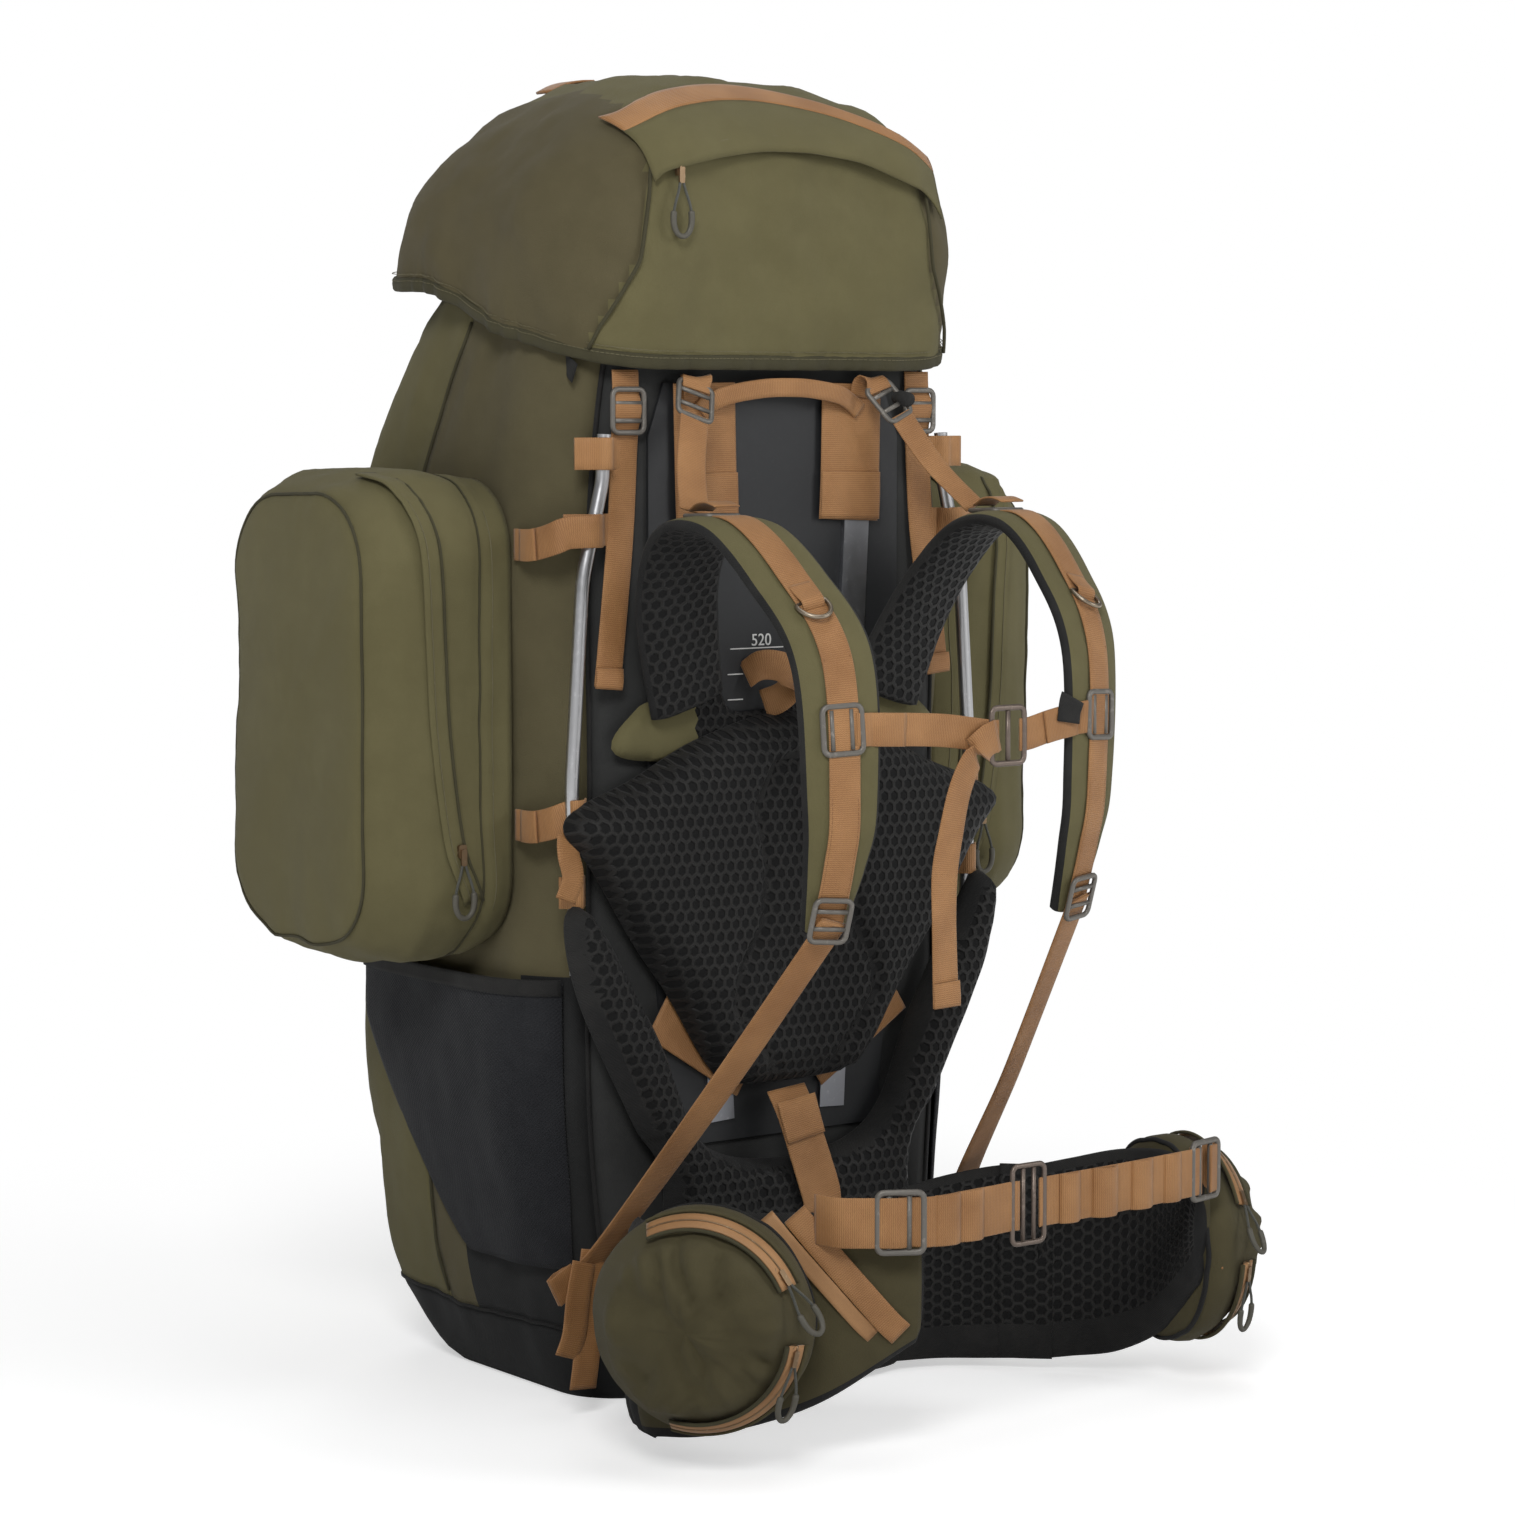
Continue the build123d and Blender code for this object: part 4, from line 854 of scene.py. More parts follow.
def ring_xy(half_width, rear, front, radius, counts=(22, 9, 20)):
    """A rounded rectangle from the middle of the rear edge, round by +X."""
    wide, bend, deep = counts
    x, r = half_width - radius, radius
    pts = []
    pts += [(t, rear) for t in np.linspace(0, x, wide // 2, endpoint=False)]
    pts += [(x + r * math.sin(t), rear + r - r * math.cos(t))
            for t in np.linspace(0, math.pi / 2, bend, endpoint=False)]
    pts += [(half_width, y) for y in np.linspace(rear + r, front - r, deep, endpoint=False)]
    pts += [(x + r * math.cos(t), front - r + r * math.sin(t))
            for t in np.linspace(0, math.pi / 2, bend, endpoint=False)]
    pts += [(t, front) for t in np.linspace(x, 0, wide // 2, endpoint=False)]
    pts = arr(pts)
    other = pts[::-1].copy()
    other[:, 0] *= -1
    return np.vstack([pts, [(0, front)], other[:-1]])


def side_x(stations, y, z):
    """Half width of a sewn volume at one depth and height, and the wall's way out."""
    half, rear, front, r = section_at(stations, z)
    if y < rear + r:
        d = min(rear + r - y, r * 0.999)
        return half - r + math.sqrt(r * r - d * d), unit((math.sqrt(r * r - d * d), -d, 0))
    if y > front - r:
        d = min(y - front + r, r * 0.999)
        return half - r + math.sqrt(r * r - d * d), unit((math.sqrt(r * r - d * d), d, 0))
    return half, arr((1, 0, 0))


def rear_y(stations, x, z):
    """Depth of a sewn volume's rear face at one X and height."""
    half, rear, front, r = section_at(stations, z)
    d = abs(x) - (half - r)
    if d <= 0:
        return rear
    return rear + r - math.sqrt(max(r * r - d * d, 0.02 * r * r))


base_top, back_edge, front_edge = 60, -131, 52  # where the bag's panels meet
bag_rows = []
middle = arr((0, -5))
for share in (0.02, 0.45, 0.8, 0.94):
    ring = ring_xy(*section_at(bag_stations, 0))
    ring = middle + (ring - middle) * share
    bag_rows.append(np.c_[ring, np.full(len(ring), 1.0 if share < 0.9 else 0.6)])
for z in np.r_[np.linspace(0, base_top, 9), np.arange(67, 884, 7.35)]:
    ring = ring_xy(*section_at(bag_stations, z))
    if z < 14:
        ring = middle + (ring - middle) * (1 - 0.03 * (1 - z / 14) ** 2)
    bag_rows.append(np.c_[ring, np.full(len(ring), z)])
bag_grid = np.stack(bag_rows)


def bag_cloth(grid):
    """Loose folds: deep on the free walls, calm at the back and on the ground."""
    out = outward(grid, (0, 20, 0))
    z = grid[..., 2:3]
    free = np.clip((grid[..., 1:2] + 142) / 40, 0.12, 1) * np.clip((z - 6) / 60, 0, 1)
    fold = fold_noise(grid, (6.5, lambda x, y, z: (x / 95, y / 95, z / 170)),
                      (4.6, lambda x, y, z: Vector((x / 40, y / 34 + z / 130, z / 120))
                       + Vector((9, 4, 2))),
                      (1.5, lambda x, y, z: (x / 17, y / 16 + z / 60, z / 55)),
                      (0.35, lambda x, y, z: (x / 9, y / 9, z / 12)))
    gather = np.exp(-((z - 880) / 60) ** 2) * 2.6
    turn = np.arctan2(grid[..., 1:2], grid[..., 0:1])
    pleat = np.sin(turn * 17 + np.sin(turn * 5) * 2.2) * gather
    return grid + out * (fold - 3.0 + pleat) * free


bag_grid = bag_cloth(bag_grid)
bag_verts, bag_faces, bag_uvs = grid_parts(bag_grid, True, (True, False))
bag_middles = arr([bag_verts[list(f)].mean(0) for f in bag_faces])
middle_row = bag_grid[len(bag_grid) // 2]
column_y = (middle_row[:, 1] + np.roll(middle_row[:, 1], -1)) / 2
for middle, face in zip(bag_middles, bag_faces):
    middle[1] = column_y[face[0] % len(column_y)]  # panels meet along one column of the cloth


def bag_piece(name, wanted, slot, mats, stands_for, face_mats=None, thickness=2.2):
    """A panel of the bag: the faces of its cloth whose middles are wanted."""
    keep = [i for i, m in enumerate(bag_middles) if wanted(m)]
    used = sorted({v for i in keep for v in bag_faces[i]})
    index = {v: k for k, v in enumerate(used)}
    faces = [tuple(index[v] for v in bag_faces[i]) for i in keep]
    picks = [face_mats(bag_middles[i]) for i in keep] if face_mats else None
    return finish_mesh(name, bag_verts[used], faces, [bag_uvs[i] for i in keep], "pack", slot,
                       mats, face_mats=picks, stands_for=stands_for, thickness=thickness)


bag_piece("bag_base", lambda m: m[2] < base_top, "base_fabric", black_nylon, ["bag_base_panel"])
bag_piece("bag_back", lambda m: m[2] >= base_top and m[1] < back_edge, "dark_fabric",
          charcoal_lining, ["bag_back_panel"])
bag_piece("bag_front", lambda m: m[2] >= base_top and m[1] > front_edge, "pack_fabric", olive,
          ["bag_front_panel"])


def is_reinforced(m):
    """The black cloth low on the sides: a tall patch at the rear and a low one to its front."""
    tall = m[2] < 352 - (m[1] - back_edge) * 0.25 and m[1] < -80
    return 1 if tall or m[2] < 118 and m[1] < 10 else 0


bag_piece("bag_sides", lambda m: m[2] >= base_top and back_edge <= m[1] <= front_edge,
          "pack_fabric", [shaded_olive, black_nylon], ["bag_side_panels"], is_reinforced)

collar_rows = []
for z in np.linspace(882, 918, 8):
    ring = ring_xy(*section_at(bag_stations, z))
    collar_rows.append(np.c_[ring, np.full(len(ring), z)])
collar = np.stack(collar_rows)
collar = rumple(collar, grid_normals(collar, True), ((30, 1.6), (9, 0.5)))
finish_mesh("bag_collar_cloth", *grid_parts(collar, True), "pack", "dark_fabric",
            charcoal_lining, stands_for=["bag_collar"], thickness=2.0)
rim = ring_xy(*section_at(bag_stations, 919))
piping("collar_draw_cord", np.c_[rim, np.full(len(rim), 916.5)][::2], 2.2, "pack", "dark_fabric",
       black_binding, closed=True, sides_count=6)


def bag_surface(y, z, sign, off):
    """A point off the bag's side wall by off."""
    x, out = side_x(bag_stations, y, z)
    return arr((sign * (x + out[0] * off), y + out[1] * off, z))


def cloth_seam(y, sign, low, high):
    """A line up the bag's side, on the cloth itself."""
    other_side = sign * middle_row[:, 0] < 60
    col = int(np.argmin(np.abs(middle_row[:, 1] - y) + other_side * 900))
    return arr([p + arr((sign * 0.4, 0, 0)) for p in bag_grid[:, col] if low < p[2] < high])[::2]


for side, sign in sides:
    seam = cloth_seam(-133, sign, 62, 872)
    piping(f"rear_seam_{side}", seam, 2.1, "pack", "dark_fabric", black_binding, sides_count=6)
    seam = cloth_seam(front_edge, sign, 62, 862)
    piping(f"front_seam_{side}", seam, 1.6, "pack", "pack_fabric", olive_binding, sides_count=6)
base_seam = min(bag_grid, key=lambda row: abs(row[:, 2].mean() - base_top))
piping("base_seam", base_seam, 1.7, "pack", "base_fabric", black_binding, closed=True,
       sides_count=6)

# stretch pockets: a knitted panel, slack at its mouth, tapering towards the low front
pocket_parts = []
hem_parts = []
for side, sign in sides:
    rows = []
    for z in np.linspace(112, 343, 36):
        high = (z - 112) / 231
        front = 130 if z > 292 else -8 + 138 * ((z - 112) / 180) ** 0.8
        row = []
        for s in np.linspace(0, 1, 40):
            y = -122 + (front + 122) * s
            edge = min(s, 1 - s) * 2
            off = 2.4 + 11.0 * min(1, edge * 2.2) ** 0.6 * high ** 0.7
            off += 1.6 * noise.noise(Vector((y / 26, z / 40, sign * 3))) * min(1, edge * 3)
            row.append(bag_surface(y, z, sign, off))
        rows.append(row)
    grid = arr(rows)
    inner = grid.copy()
    inner[..., 0] -= sign * 1.8
    shell = np.concatenate([grid, inner[:, ::-1]], 1)
    pocket_parts.append(grid_parts(shell, True, (True, True)))
    mouth = grid[-1]
    hem_parts.append(band(mouth + arr((sign * 0.4, 0, -5)), (0, 0, 1), 13, thickness=3.4))
joined("stretch_pocket_cloth", pocket_parts, "pack", "stretch_fabric", stretch_weave,
       stands_for=["stretch_pockets"])
joined("stretch_pocket_hems", hem_parts, "pack", "stretch_fabric", black_binding)

# ------------------------------------------------------------------ lid

lid_middle = arr((0, -11))


def hem_height(y):
    """The lid's lower hem rises to the front and dips past its crest."""
    return 826 + (y + 166) * 0.2258 + 15 * np.exp(-((y - 30) / 62) ** 2)


def lid_seam_x(y, z):
    """Distance of the lid's corner seam from the middle."""
    near = np.interp(z, [826, 856, 906, 960, 1012, 1060], [182, 172, 146, 138, 132, 112])
    return near - max(0.0, y + 120) * 0.04


counts = (44, 16, 34)
hem_z = hem_height(ring_xy(*section_at(lid_stations, 860), counts=counts)[:, 1])
lid_rows = []
for t in np.linspace(0, 1, 16):
    zs = hem_z + (930 - hem_z) * t
    row = [np.r_[ring_xy(*section_at(lid_stations, z), counts=counts)[k], z]
           for k, z in enumerate(zs)]
    lid_rows.append(arr(row))
for z in np.linspace(936, 1056, 26):
    ring = ring_xy(*section_at(lid_stations, z), counts=counts)
    lid_rows.append(np.c_[ring, np.full(len(ring), z)])
top_ring = ring_xy(*section_at(lid_stations, 1058), counts=counts)
for share in (0.93, 0.8, 0.62, 0.42, 0.22, 0.04):
    ring = lid_middle + (top_ring - lid_middle) * share
    lid_rows.append(np.c_[ring, np.full(len(ring), 1058 + 7 * (1 - share) ** 0.8)])
lid_grid = np.stack(lid_rows)


def lid_cloth(grid):
    """Loose folds, puckers above the hem and a groove along the corner seams."""
    out = outward(grid, (0, -10, 930))
    fold = fold_noise(grid, (6.0, lambda x, y, z: Vector((x / 110, y / 90, z / 62))
                             + Vector((3, 1, 7))),
                      (3.4, lambda x, y, z: (x / 46, y / 40, z / 30 + x / 90)),
                      (1.0, lambda x, y, z: (x / 20, y / 18, z / 24 + x / 40)),
                      (0.3, lambda x, y, z: (x / 10, y / 10, z / 12)))
    above = grid[..., 2:3] - hem_height(grid[..., 1:2])
    turn = np.arctan2(grid[..., 1:2] + 10, grid[..., 0:1])
    corner = np.clip(np.abs(grid[..., 0:1]) / 200, 0, 1) ** 2
    pucker = np.sin(turn * 52 + 2.4 * np.sin(turn * 11)) * np.exp(-np.maximum(above, 0) / 17)
    deep = np.sin(turn * 17 + 1.2) * np.exp(-((above - 20) / 26) ** 2) * corner * 2.2
    seam = arr([[-1.6 * math.exp(-((abs(x) - lid_seam_x(y, z)) / 5.0) ** 2) for x, y, z in row]
                for row in grid])
    return grid + out * (fold - 2.2 + pucker * 1.5 + deep * 1.2 + seam[..., None])


lid_grid = lid_cloth(lid_grid)
lid_verts, lid_faces, lid_uvs = grid_parts(lid_grid, True, (False, True))
lid_middles = arr([lid_verts[list(f)].mean(0) for f in lid_faces])
picks = [1 if abs(m[0]) > lid_seam_x(m[1], m[2]) else 0 for m in lid_middles]
finish_mesh("lid_cloth", lid_verts, lid_faces, lid_uvs, "lid", "pack_fabric",
            [olive, brown_olive], face_mats=picks, stands_for=["lid"], thickness=2.4)
floor_rings = []
for share in (1, 0.7, 0.4, 0.03):
    ring = ring_xy(*section_at(lid_stations, 924))
    ring = lid_middle + (ring - lid_middle) * (share * 0.945)
    floor_rings.append(np.c_[ring, np.full(len(ring), 926.0 + share)])
finish_mesh("lid_floor", *grid_parts(np.stack(floor_rings), True, (False, True)), "lid",
            "dark_fabric", charcoal_lining, thickness=1.5)


def lid_out(k):
    """The way out of the lid's hem at one of its points."""
    ring = lid_grid[0]
    way = np.roll(ring, -1, 0)[k] - np.roll(ring, 1, 0)[k]
    return unit((way[1], -way[0], 0))


hem_ring = lid_grid[0]
outs = arr([lid_out(k) for k in range(len(hem_ring))])
sizes = np.linspace(0, 2 * math.pi, 10, endpoint=False)
hem_grid = np.stack([hem_ring + outs * (2.9 * math.cos(t)) + arr((0, 0, 1)) * (
    6.0 * np.sign(math.sin(t)) * abs(math.sin(t)) ** 0.7 + 2.5) for t in sizes], 1)
hem_grid = np.concatenate([hem_grid, hem_grid[:1]], 0)
hv, hf, hu = grid_parts(hem_grid, True)
total = (len(hem_grid) - 1) * hem_grid.shape[1]
finish_mesh("lid_hem", hv[:total], [tuple(i % total for i in f) for f in hf], hu, "lid",
            "pack_fabric", olive_binding)


def on_lid(x, z, off=0.0):
    """A point on the lid's rear face, lifted off it by off."""
    y = rear_y(lid_stations, x, z)
    dz = (rear_y(lid_stations, x, z + 2) - rear_y(lid_stations, x, z - 2)) / 4
    dx = (rear_y(lid_stations, x + 2, z) - rear_y(lid_stations, x - 2, z)) / 4
    out = unit((dx, -1, dz))
    return arr((x, y, z)) + out * off


def eased(points, step=4.0, closed=False):
    """A smooth line through points of a plane."""
    return smooth_line(np.c_[arr(points), np.zeros(len(points))], step, closed=closed)[:, :2]


def flap_point(s, across):
    """X and Z on the lid's zip flap, s along it and across from its lower to its upper edge."""
    low = flap_low[int(s * (len(flap_low) - 1))]
    high = flap_high[int(s * (len(flap_high) - 1))]
    return low + (high - low) * across


def end_calm(s):
    """Lowers the flap towards both ends."""
    return 0.25 + 0.75 * min(1, 9 * s, 9 * (1 - s))



flap_low = eased([(-134, 966), (-120, 976), (-70, 987), (-11, 992), (60, 987), (116, 971),
                  (140, 960), (156, 946)])
flap_high = eased([(-146, 1006), (-90, 1026), (-22, 1034), (45, 1026), (100, 1008), (150, 985)])
for part, low_off, high_off, slot, mats, lows, highs in (
        ("lid_flap", 5.2, 2.2, "pack_fabric", olive, 0, 1),
        ("lid_zip_tape", 3.0, 3.6, "webbing", tan_webbing, 0.96, 1.26)):
    rows = []
    for t in np.linspace(0, 1, 10):
        row = []
        for s in np.linspace(0, 1, 70):
            x, z = flap_point(s, lows + (highs - lows) * t)
            wave = 0.7 * math.sin(s * 37 + 2) * (1 - t) if part == "lid_flap" else 0
            off = (low_off + (high_off - low_off) * t) * end_calm(s) + wave
            row.append(on_lid(x, min(z, 1056), off))
        rows.append(row)
    finish_mesh(part, *grid_parts(arr(rows), False), "lid", slot, mats, thickness=-1.6)
for across, label in ((0.26, "a"), (0.93, "b")):
    line = [on_lid(*flap_point(s, across), (5.9 - across * 3) * end_calm(s))
            for s in np.linspace(0.03, 0.97, 60)]
    piping(f"lid_flap_stitch_{label}", line, 0.45, "lid", "pack_fabric", thread_olive,
           sides_count=5)
for side, sign in sides:
    line = []
    for z in np.arange(1006, 836, -6.0):
        x = lid_seam_x(-150, z)
        line.append(on_lid(sign * min(x, section_at(lid_stations, z)[0] - 3), z, 0.4))
    piping(f"lid_corner_seam_{side}", line, 1.5, "lid", "pack_fabric", olive_binding,
           sides_count=6)
tab_points = []
for x in (-92, -78, -64, -50):
    near = lid_grid[-14:].reshape(-1, 3)
    gap = np.linalg.norm(near[:, :2] - arr((x, 44)), axis=1)
    tab_points.append((x, 44, float(near[np.argsort(gap)[:4], 2].mean()) + 1.6))
strap("lid_top_tab", tab_points, (0, 1, 0), 24, "lid", thickness=2.2)

# ------------------------------------------------------------------ side pockets

pocket_stations = arr([  # out from the middle, rear, front, low, high, corner radius
    (213, -86, 142, 366, 737, 60), (232, -90, 147, 357, 742, 68), (262, -92, 150, 352, 745, 72),
    (290, -92, 150, 352, 745, 74), (312, -84, 144, 357, 740, 74), (329, -74, 137, 363, 733, 70),
    (338, -66, 131, 368, 727, 66)])


def pocket_ring(rear, front, low, high, radius):
    """The outline of a side pocket in Y and Z at one depth, from the rear edge's middle."""
    ring = ring_xy((front - rear) / 2, low, high, radius, counts=(26, 12, 40))
    return ring + arr(((rear + front) / 2, 0))


wall_rows = 26
for side, sign in sides:
    rows = []
    for d in np.linspace(213, 338, wall_rows):
        half = [np.interp(d, pocket_stations[:, 0], pocket_stations[:, k]) for k in range(1, 6)]
        ring = pocket_ring(*half)
        rows.append(np.c_[np.full(len(ring), sign * d), ring])
    last = pocket_ring(*pocket_stations[-1, 1:])
    centre = arr((32, 548))
    for share, lift in ((0.975, 2.6), (0.93, 4.4), (0.84, 6.2), (0.7, 8.0), (0.52, 9.4),
                        (0.34, 10.2), (0.17, 10.6), (0.02, 10.8)):
        ring = centre + (last - centre) * share
        rows.append(np.c_[np.full(len(ring), sign * (338 + lift)), ring])
    grid = np.stack(rows)
    out = outward(grid, (sign * 260, 30, 548))
    fold = fold_noise(grid, (6.0, lambda x, y, z: Vector((x / 60, y / 80, z / 120))
                             + Vector((sign * 2, 5, 1))),
                      (2.2, lambda x, y, z: (x / 24, y / 40 + z / 70, z / 50)),
                      (0.5, lambda x, y, z: (x / 10, y / 12, z / 14)))
    far, y, z = np.abs(grid[..., 0:1]), grid[..., 1:2], grid[..., 2:3]
    low_sag = np.exp(-((z - 380) / 40) ** 2) * np.sin(y / 9.0) * 1.6
    edge = np.exp(-((far - 337) / 5) ** 2) * -1.4
    groove = np.exp(-((far - 244) / 3) ** 2) * -1.8
    groove = groove - 1.6 * np.exp(-((far - 268) / 24) ** 2) * (y < -60)
    away = np.clip((far - 213) / 16, 0, 1)
    fold = fold * (1 - 0.65 * np.exp(-((far - 272) / 26) ** 2) * (y < -60))
    grid = grid + out * (fold - 1.5 + low_sag + edge + groove) * away
    finish_mesh(f"side_pocket_cloth_{side}", *grid_parts(grid, True, (True, True)), "pack",
                "pack_fabric", olive, stands_for=[f"side_pocket_{side}"])
    for label, row, size in (("face_piping", wall_rows - 1, 1.25), ("back_piping", 6, 0.9)):
        piping(f"side_pocket_{label}_{side}", grid[row] + out[row] * 0.9, size, "pack",
               "pack_fabric", olive_binding, closed=True, sides_count=6)
    # the zip runs under a flap that crosses the rear and the top of the pocket
    run = smooth_line([(299, -88, 741), (293, -95, 728), (286, -97, 690), (281, -97.5, 620),
                       (278, -97.5, 560), (272, -97.5, 500), (264.5, -97, 452), (257, -96, 430),
                       (247, -94, 408)], 6)
    run = run * arr((sign, 1, 1))

    def lie(points, lift):
        """Points laid on the pocket's cloth, lifted off it."""
        flat = grid[:wall_rows].reshape(-1, 3)
        made = []
        for p in points:
            gap = np.linalg.norm((flat - p)[:, (0, 2)], axis=1)
            gap = gap + np.where(flat[:, 1] > 20, 900, 0)  # never the front wall
            near = np.argsort(gap)[:4]
            share = 1 / (gap[near] + 0.5)
            y = (flat[near, 1] * share).sum() / share.sum()
            made.append((p[0], y - lift, p[2]))
        return arr(made)

    path = lie(run, 1.6)
    strap(f"side_pocket_flap_{side}", path + arr((sign * 5, 0, 0)), (1, 0, 0), 17, "pack",
          olive, "pack_fabric", thickness=2.2, step=6)
    piping(f"side_pocket_flap_edge_{side}", lie(run, 2.8) - arr((sign * 3.5, 0, 0)), 1.3, "pack",
           "pack_fabric", olive_binding, sides_count=6)
    piping(f"side_pocket_flap_stitch_{side}", lie(run, 3.0) + arr((sign * 8, 0, 0)), 0.42, "pack",
           "pack_fabric", thread_olive, sides_count=5)
    seam = lie([(232 * sign, 0, z) for z in np.arange(400, 716, 8)], 0.3)
    piping(f"side_pocket_back_stitch_{side}", seam, 0.45, "pack", "pack_fabric", thread_olive,
           sides_count=5)

# ------------------------------------------------------------------ frame, board and its print

shown = frame["nodes"]


def recolor(node, made):
    """A carried-over part gets a better material in its own slots."""
    obj = shown[node]
    for part in [obj, *obj.children_recursive]:
        if part.type == "MESH":
            if not part.material_slots:
                part.data.materials.append(made)
            for slot in part.material_slots:
                slot.material = made


recolor("frame_tubes", tube_alloy)
recolor("frame_stays", stay_alloy)
recolor("back_board", board_plastic)
for name in zip_frames:
    recolor(f"{name}_slider", zip_metal)

print_y, first_mark_z, mark_spacing = -148.35, 600.8, 20.3
marks = [box_parts((x, print_y, first_mark_z - k * mark_spacing), (1, 0, 0), (0, 0, 1),
                   (width, 0.9, 0.5))
         for k, (x, width) in enumerate([(-19, 53)] + [(-40.5, 15)] * 3)]
joined("length_scale_lines", marks, "pack", "board_plastic", scale_print, smooth=False)
text = bpy.data.curves.new("length_scale_number", "FONT")
text.body = "520"
text.size = 0.0135
text.extrude = 0.0002
text.align_x = "CENTER"
label = bpy.data.objects.new("length_scale_number", text)
scene.collection.objects.link(label)
graph = bpy.context.evaluated_depsgraph_get()
graph.update()
mesh = bpy.data.meshes.new_from_object(label.evaluated_get(graph))
upright = Matrix.Rotation(math.pi / 2, 4, "X")
mesh.transform(Matrix.Translation((-0.0145, -0.1484, 0.6028)) @ upright)
bpy.data.objects.remove(label)
number = bpy.data.objects.new("length_scale_number", mesh)
scene.collection.objects.link(number)
mesh.materials.append(scale_print)
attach(number, "pack")

# ------------------------------------------------------------------ webbing on the back

across_z = (0, 0, 1)
loop_parts = []
tube_points = [(169, 772), (171, 735), (190, 660), (201, 500), (197, 352)]


def tube_x(z):
    """Distance of a frame tube from the middle."""
    zs = [p[1] for p in tube_points][::-1]
    xs = [p[0] for p in tube_points][::-1]
    return float(np.interp(z, zs, xs))


for side, sign in sides:
    for z in (757, 698, 417):
        x = tube_x(z) * sign
        reach = 7.0
        ring = [(x - 24, -146.6, z), (x - 12, -147.6, z), (x - reach, -152, z),
                (x - reach * 0.6, -157, z), (x, -158.6, z), (x + reach * 0.6, -157, z),
                (x + reach, -152, z), (x + 12, -147.6, z), (x + 24, -146.6, z)]
        if sign < 0:
            ring = ring[::-1]
        ring = [p for p in ring if abs(p[0]) < 206] if z != 417 else ring[1:-1]
        loop_parts.append(band(ring, across_z, web_width, step=2.5))
    for z in (690, 470):
        line = [(213.7, -92, z - 4), (214.4, -112, z - 4), (213.6, -128, z - 2),
                (210.5, -143, z + 2), (203, -150.5, z + 6), (tube_x(z) + 4, -158.4, z + 7),
                (tube_x(z) - 6, -157.5, z + 7), (tube_x(z) - 14, -149, z + 8)]
        loop_parts.append(band(arr(line) * (sign, 1, 1), across_z, web_width, step=3))
        fold = [(216.6, -104, z - 4), (217.6, -116, z - 4), (216.8, -126, z - 3)]
        loop_parts.append(band(arr(fold) * (sign, 1, 1), across_z, web_width, step=3))
joined("frame_loop_webbing", loop_parts, "pack", "webbing", tan_webbing,
       stands_for=["frame_loops"])
tail = [(-207, -156, 462), (-210, -160, 448), (-206, -160, 430), (-212, -158.5, 412)]
strap("side_strap_tail", tail, (1, 0, 0.2), 20, "pack", step=3)

sleeve_parts = []
for side, sign in sides:
    sleeve_parts.append(band([(sign * 71, -152.3, 702), (sign * 72.5, -152.6, 740),
                             (sign * 74, -152.4, 812)], (1, 0, 0), 60, thickness=1.9))
    sleeve_parts.append(band([(sign * 71.5, -154.2, 703), (sign * 72, -154.6, 722),
                             (sign * 72.3, -154.3, 741)], (1, 0, 0), 60, thickness=1.6))
    sleeve_parts.append(band([(sign * 83, -154.6, 801), (sign * 85, -157, 814),
                             (sign * 89, -163, 815), (sign * 92.5, -167.5, 806)], (1, 0, 0),
                             web_width, step=2.5))
joined("stay_sleeve_webbing", sleeve_parts, "pack", "webbing", tan_webbing,
       stands_for=["stay_sleeves"])

strap_parts = []
for side, sign in sides:
    rear = [(146, -146.6, 822), (146, -147.6, 806), (146.3, -151, 797), (146.4, -151.6, 790),
            (146.5, -149, 781), (147, -147, 768), (151, -147.2, 700), (158, -149, 640),
            (166, -150, 575)]
    strap_parts.append(band(arr(rear) * (sign, 1, 1), (1, 0, 0.08 * sign), web_width, step=3))
    front = [(128, y, z) for y, z in ((142.5, 832), (151, 822), (171.5, 785), (185.8, 750),
                                      (189.5, 700), (191.4, 640))]
    strap_parts.append(band(arr(front) * (sign, 1, 1), (1, 0, 0), web_width))
joined("lid_strap_webbing", strap_parts, "pack", "webbing", tan_webbing,
       stands_for=["lid_straps"])
folds = []
for side, sign in sides:
    folds.append(band(arr([(164.8, -152, 590), (165.4, -153, 581),
                      (166, -152, 574)]) * (sign, 1, 1), (1, 0, 0.15 * sign), 25.5, thickness=2.2,
                      step=3))
joined("lid_strap_ends", folds, "pack", "webbing", tan_webbing)

strap("haul_loop_webbing", [(-80, -155.0, 790), (-72, -155.6, 796), (-54, -161, 803),
                            (-25, -163.4, 807.5), (0, -164, 808.5), (25, -163.4, 807.5),
                            (54, -161, 803), (72, -155.6, 796), (80, -155.0, 790)],
      across_z, 15, "pack", thickness=3.4, stands_for=["haul_loop"], step=3)

lift_way = unit((0.40, -0.50, -0.76))
lock_parts = []
for side, sign in sides:
    lock_parts += buckle_parts((sign * 146, -151.0, 790), (1, 0, 0), (0, 0, 1), *lock_size,
                               (0.16, -0.2))
    way = lift_way * (sign, 1, 1)
    across = unit(arr((1, 0, 0)) - way * way[0])
    lock_parts += buckle_parts((sign * 97, -172, 798), across, way, *lock_size, (0.16, -0.2))
joined("back_lock_buckles", lock_parts, "pack", "buckle_metal", buckle_metal,
       stands_for=["back_ladder_locks"])
hook_parts = []
for side, sign in sides:
    lean = math.radians(32)
    hook_parts += buckle_parts((sign * 128, 143.4, 842), (1, 0, 0),
                               (0, -math.sin(lean), math.cos(lean)), 34, 40, (0.2,), 3.4, 3.0)
joined("front_hook_bars", hook_parts, "pack", "hook_metal", hook_metal,
       stands_for=["front_hooks"])
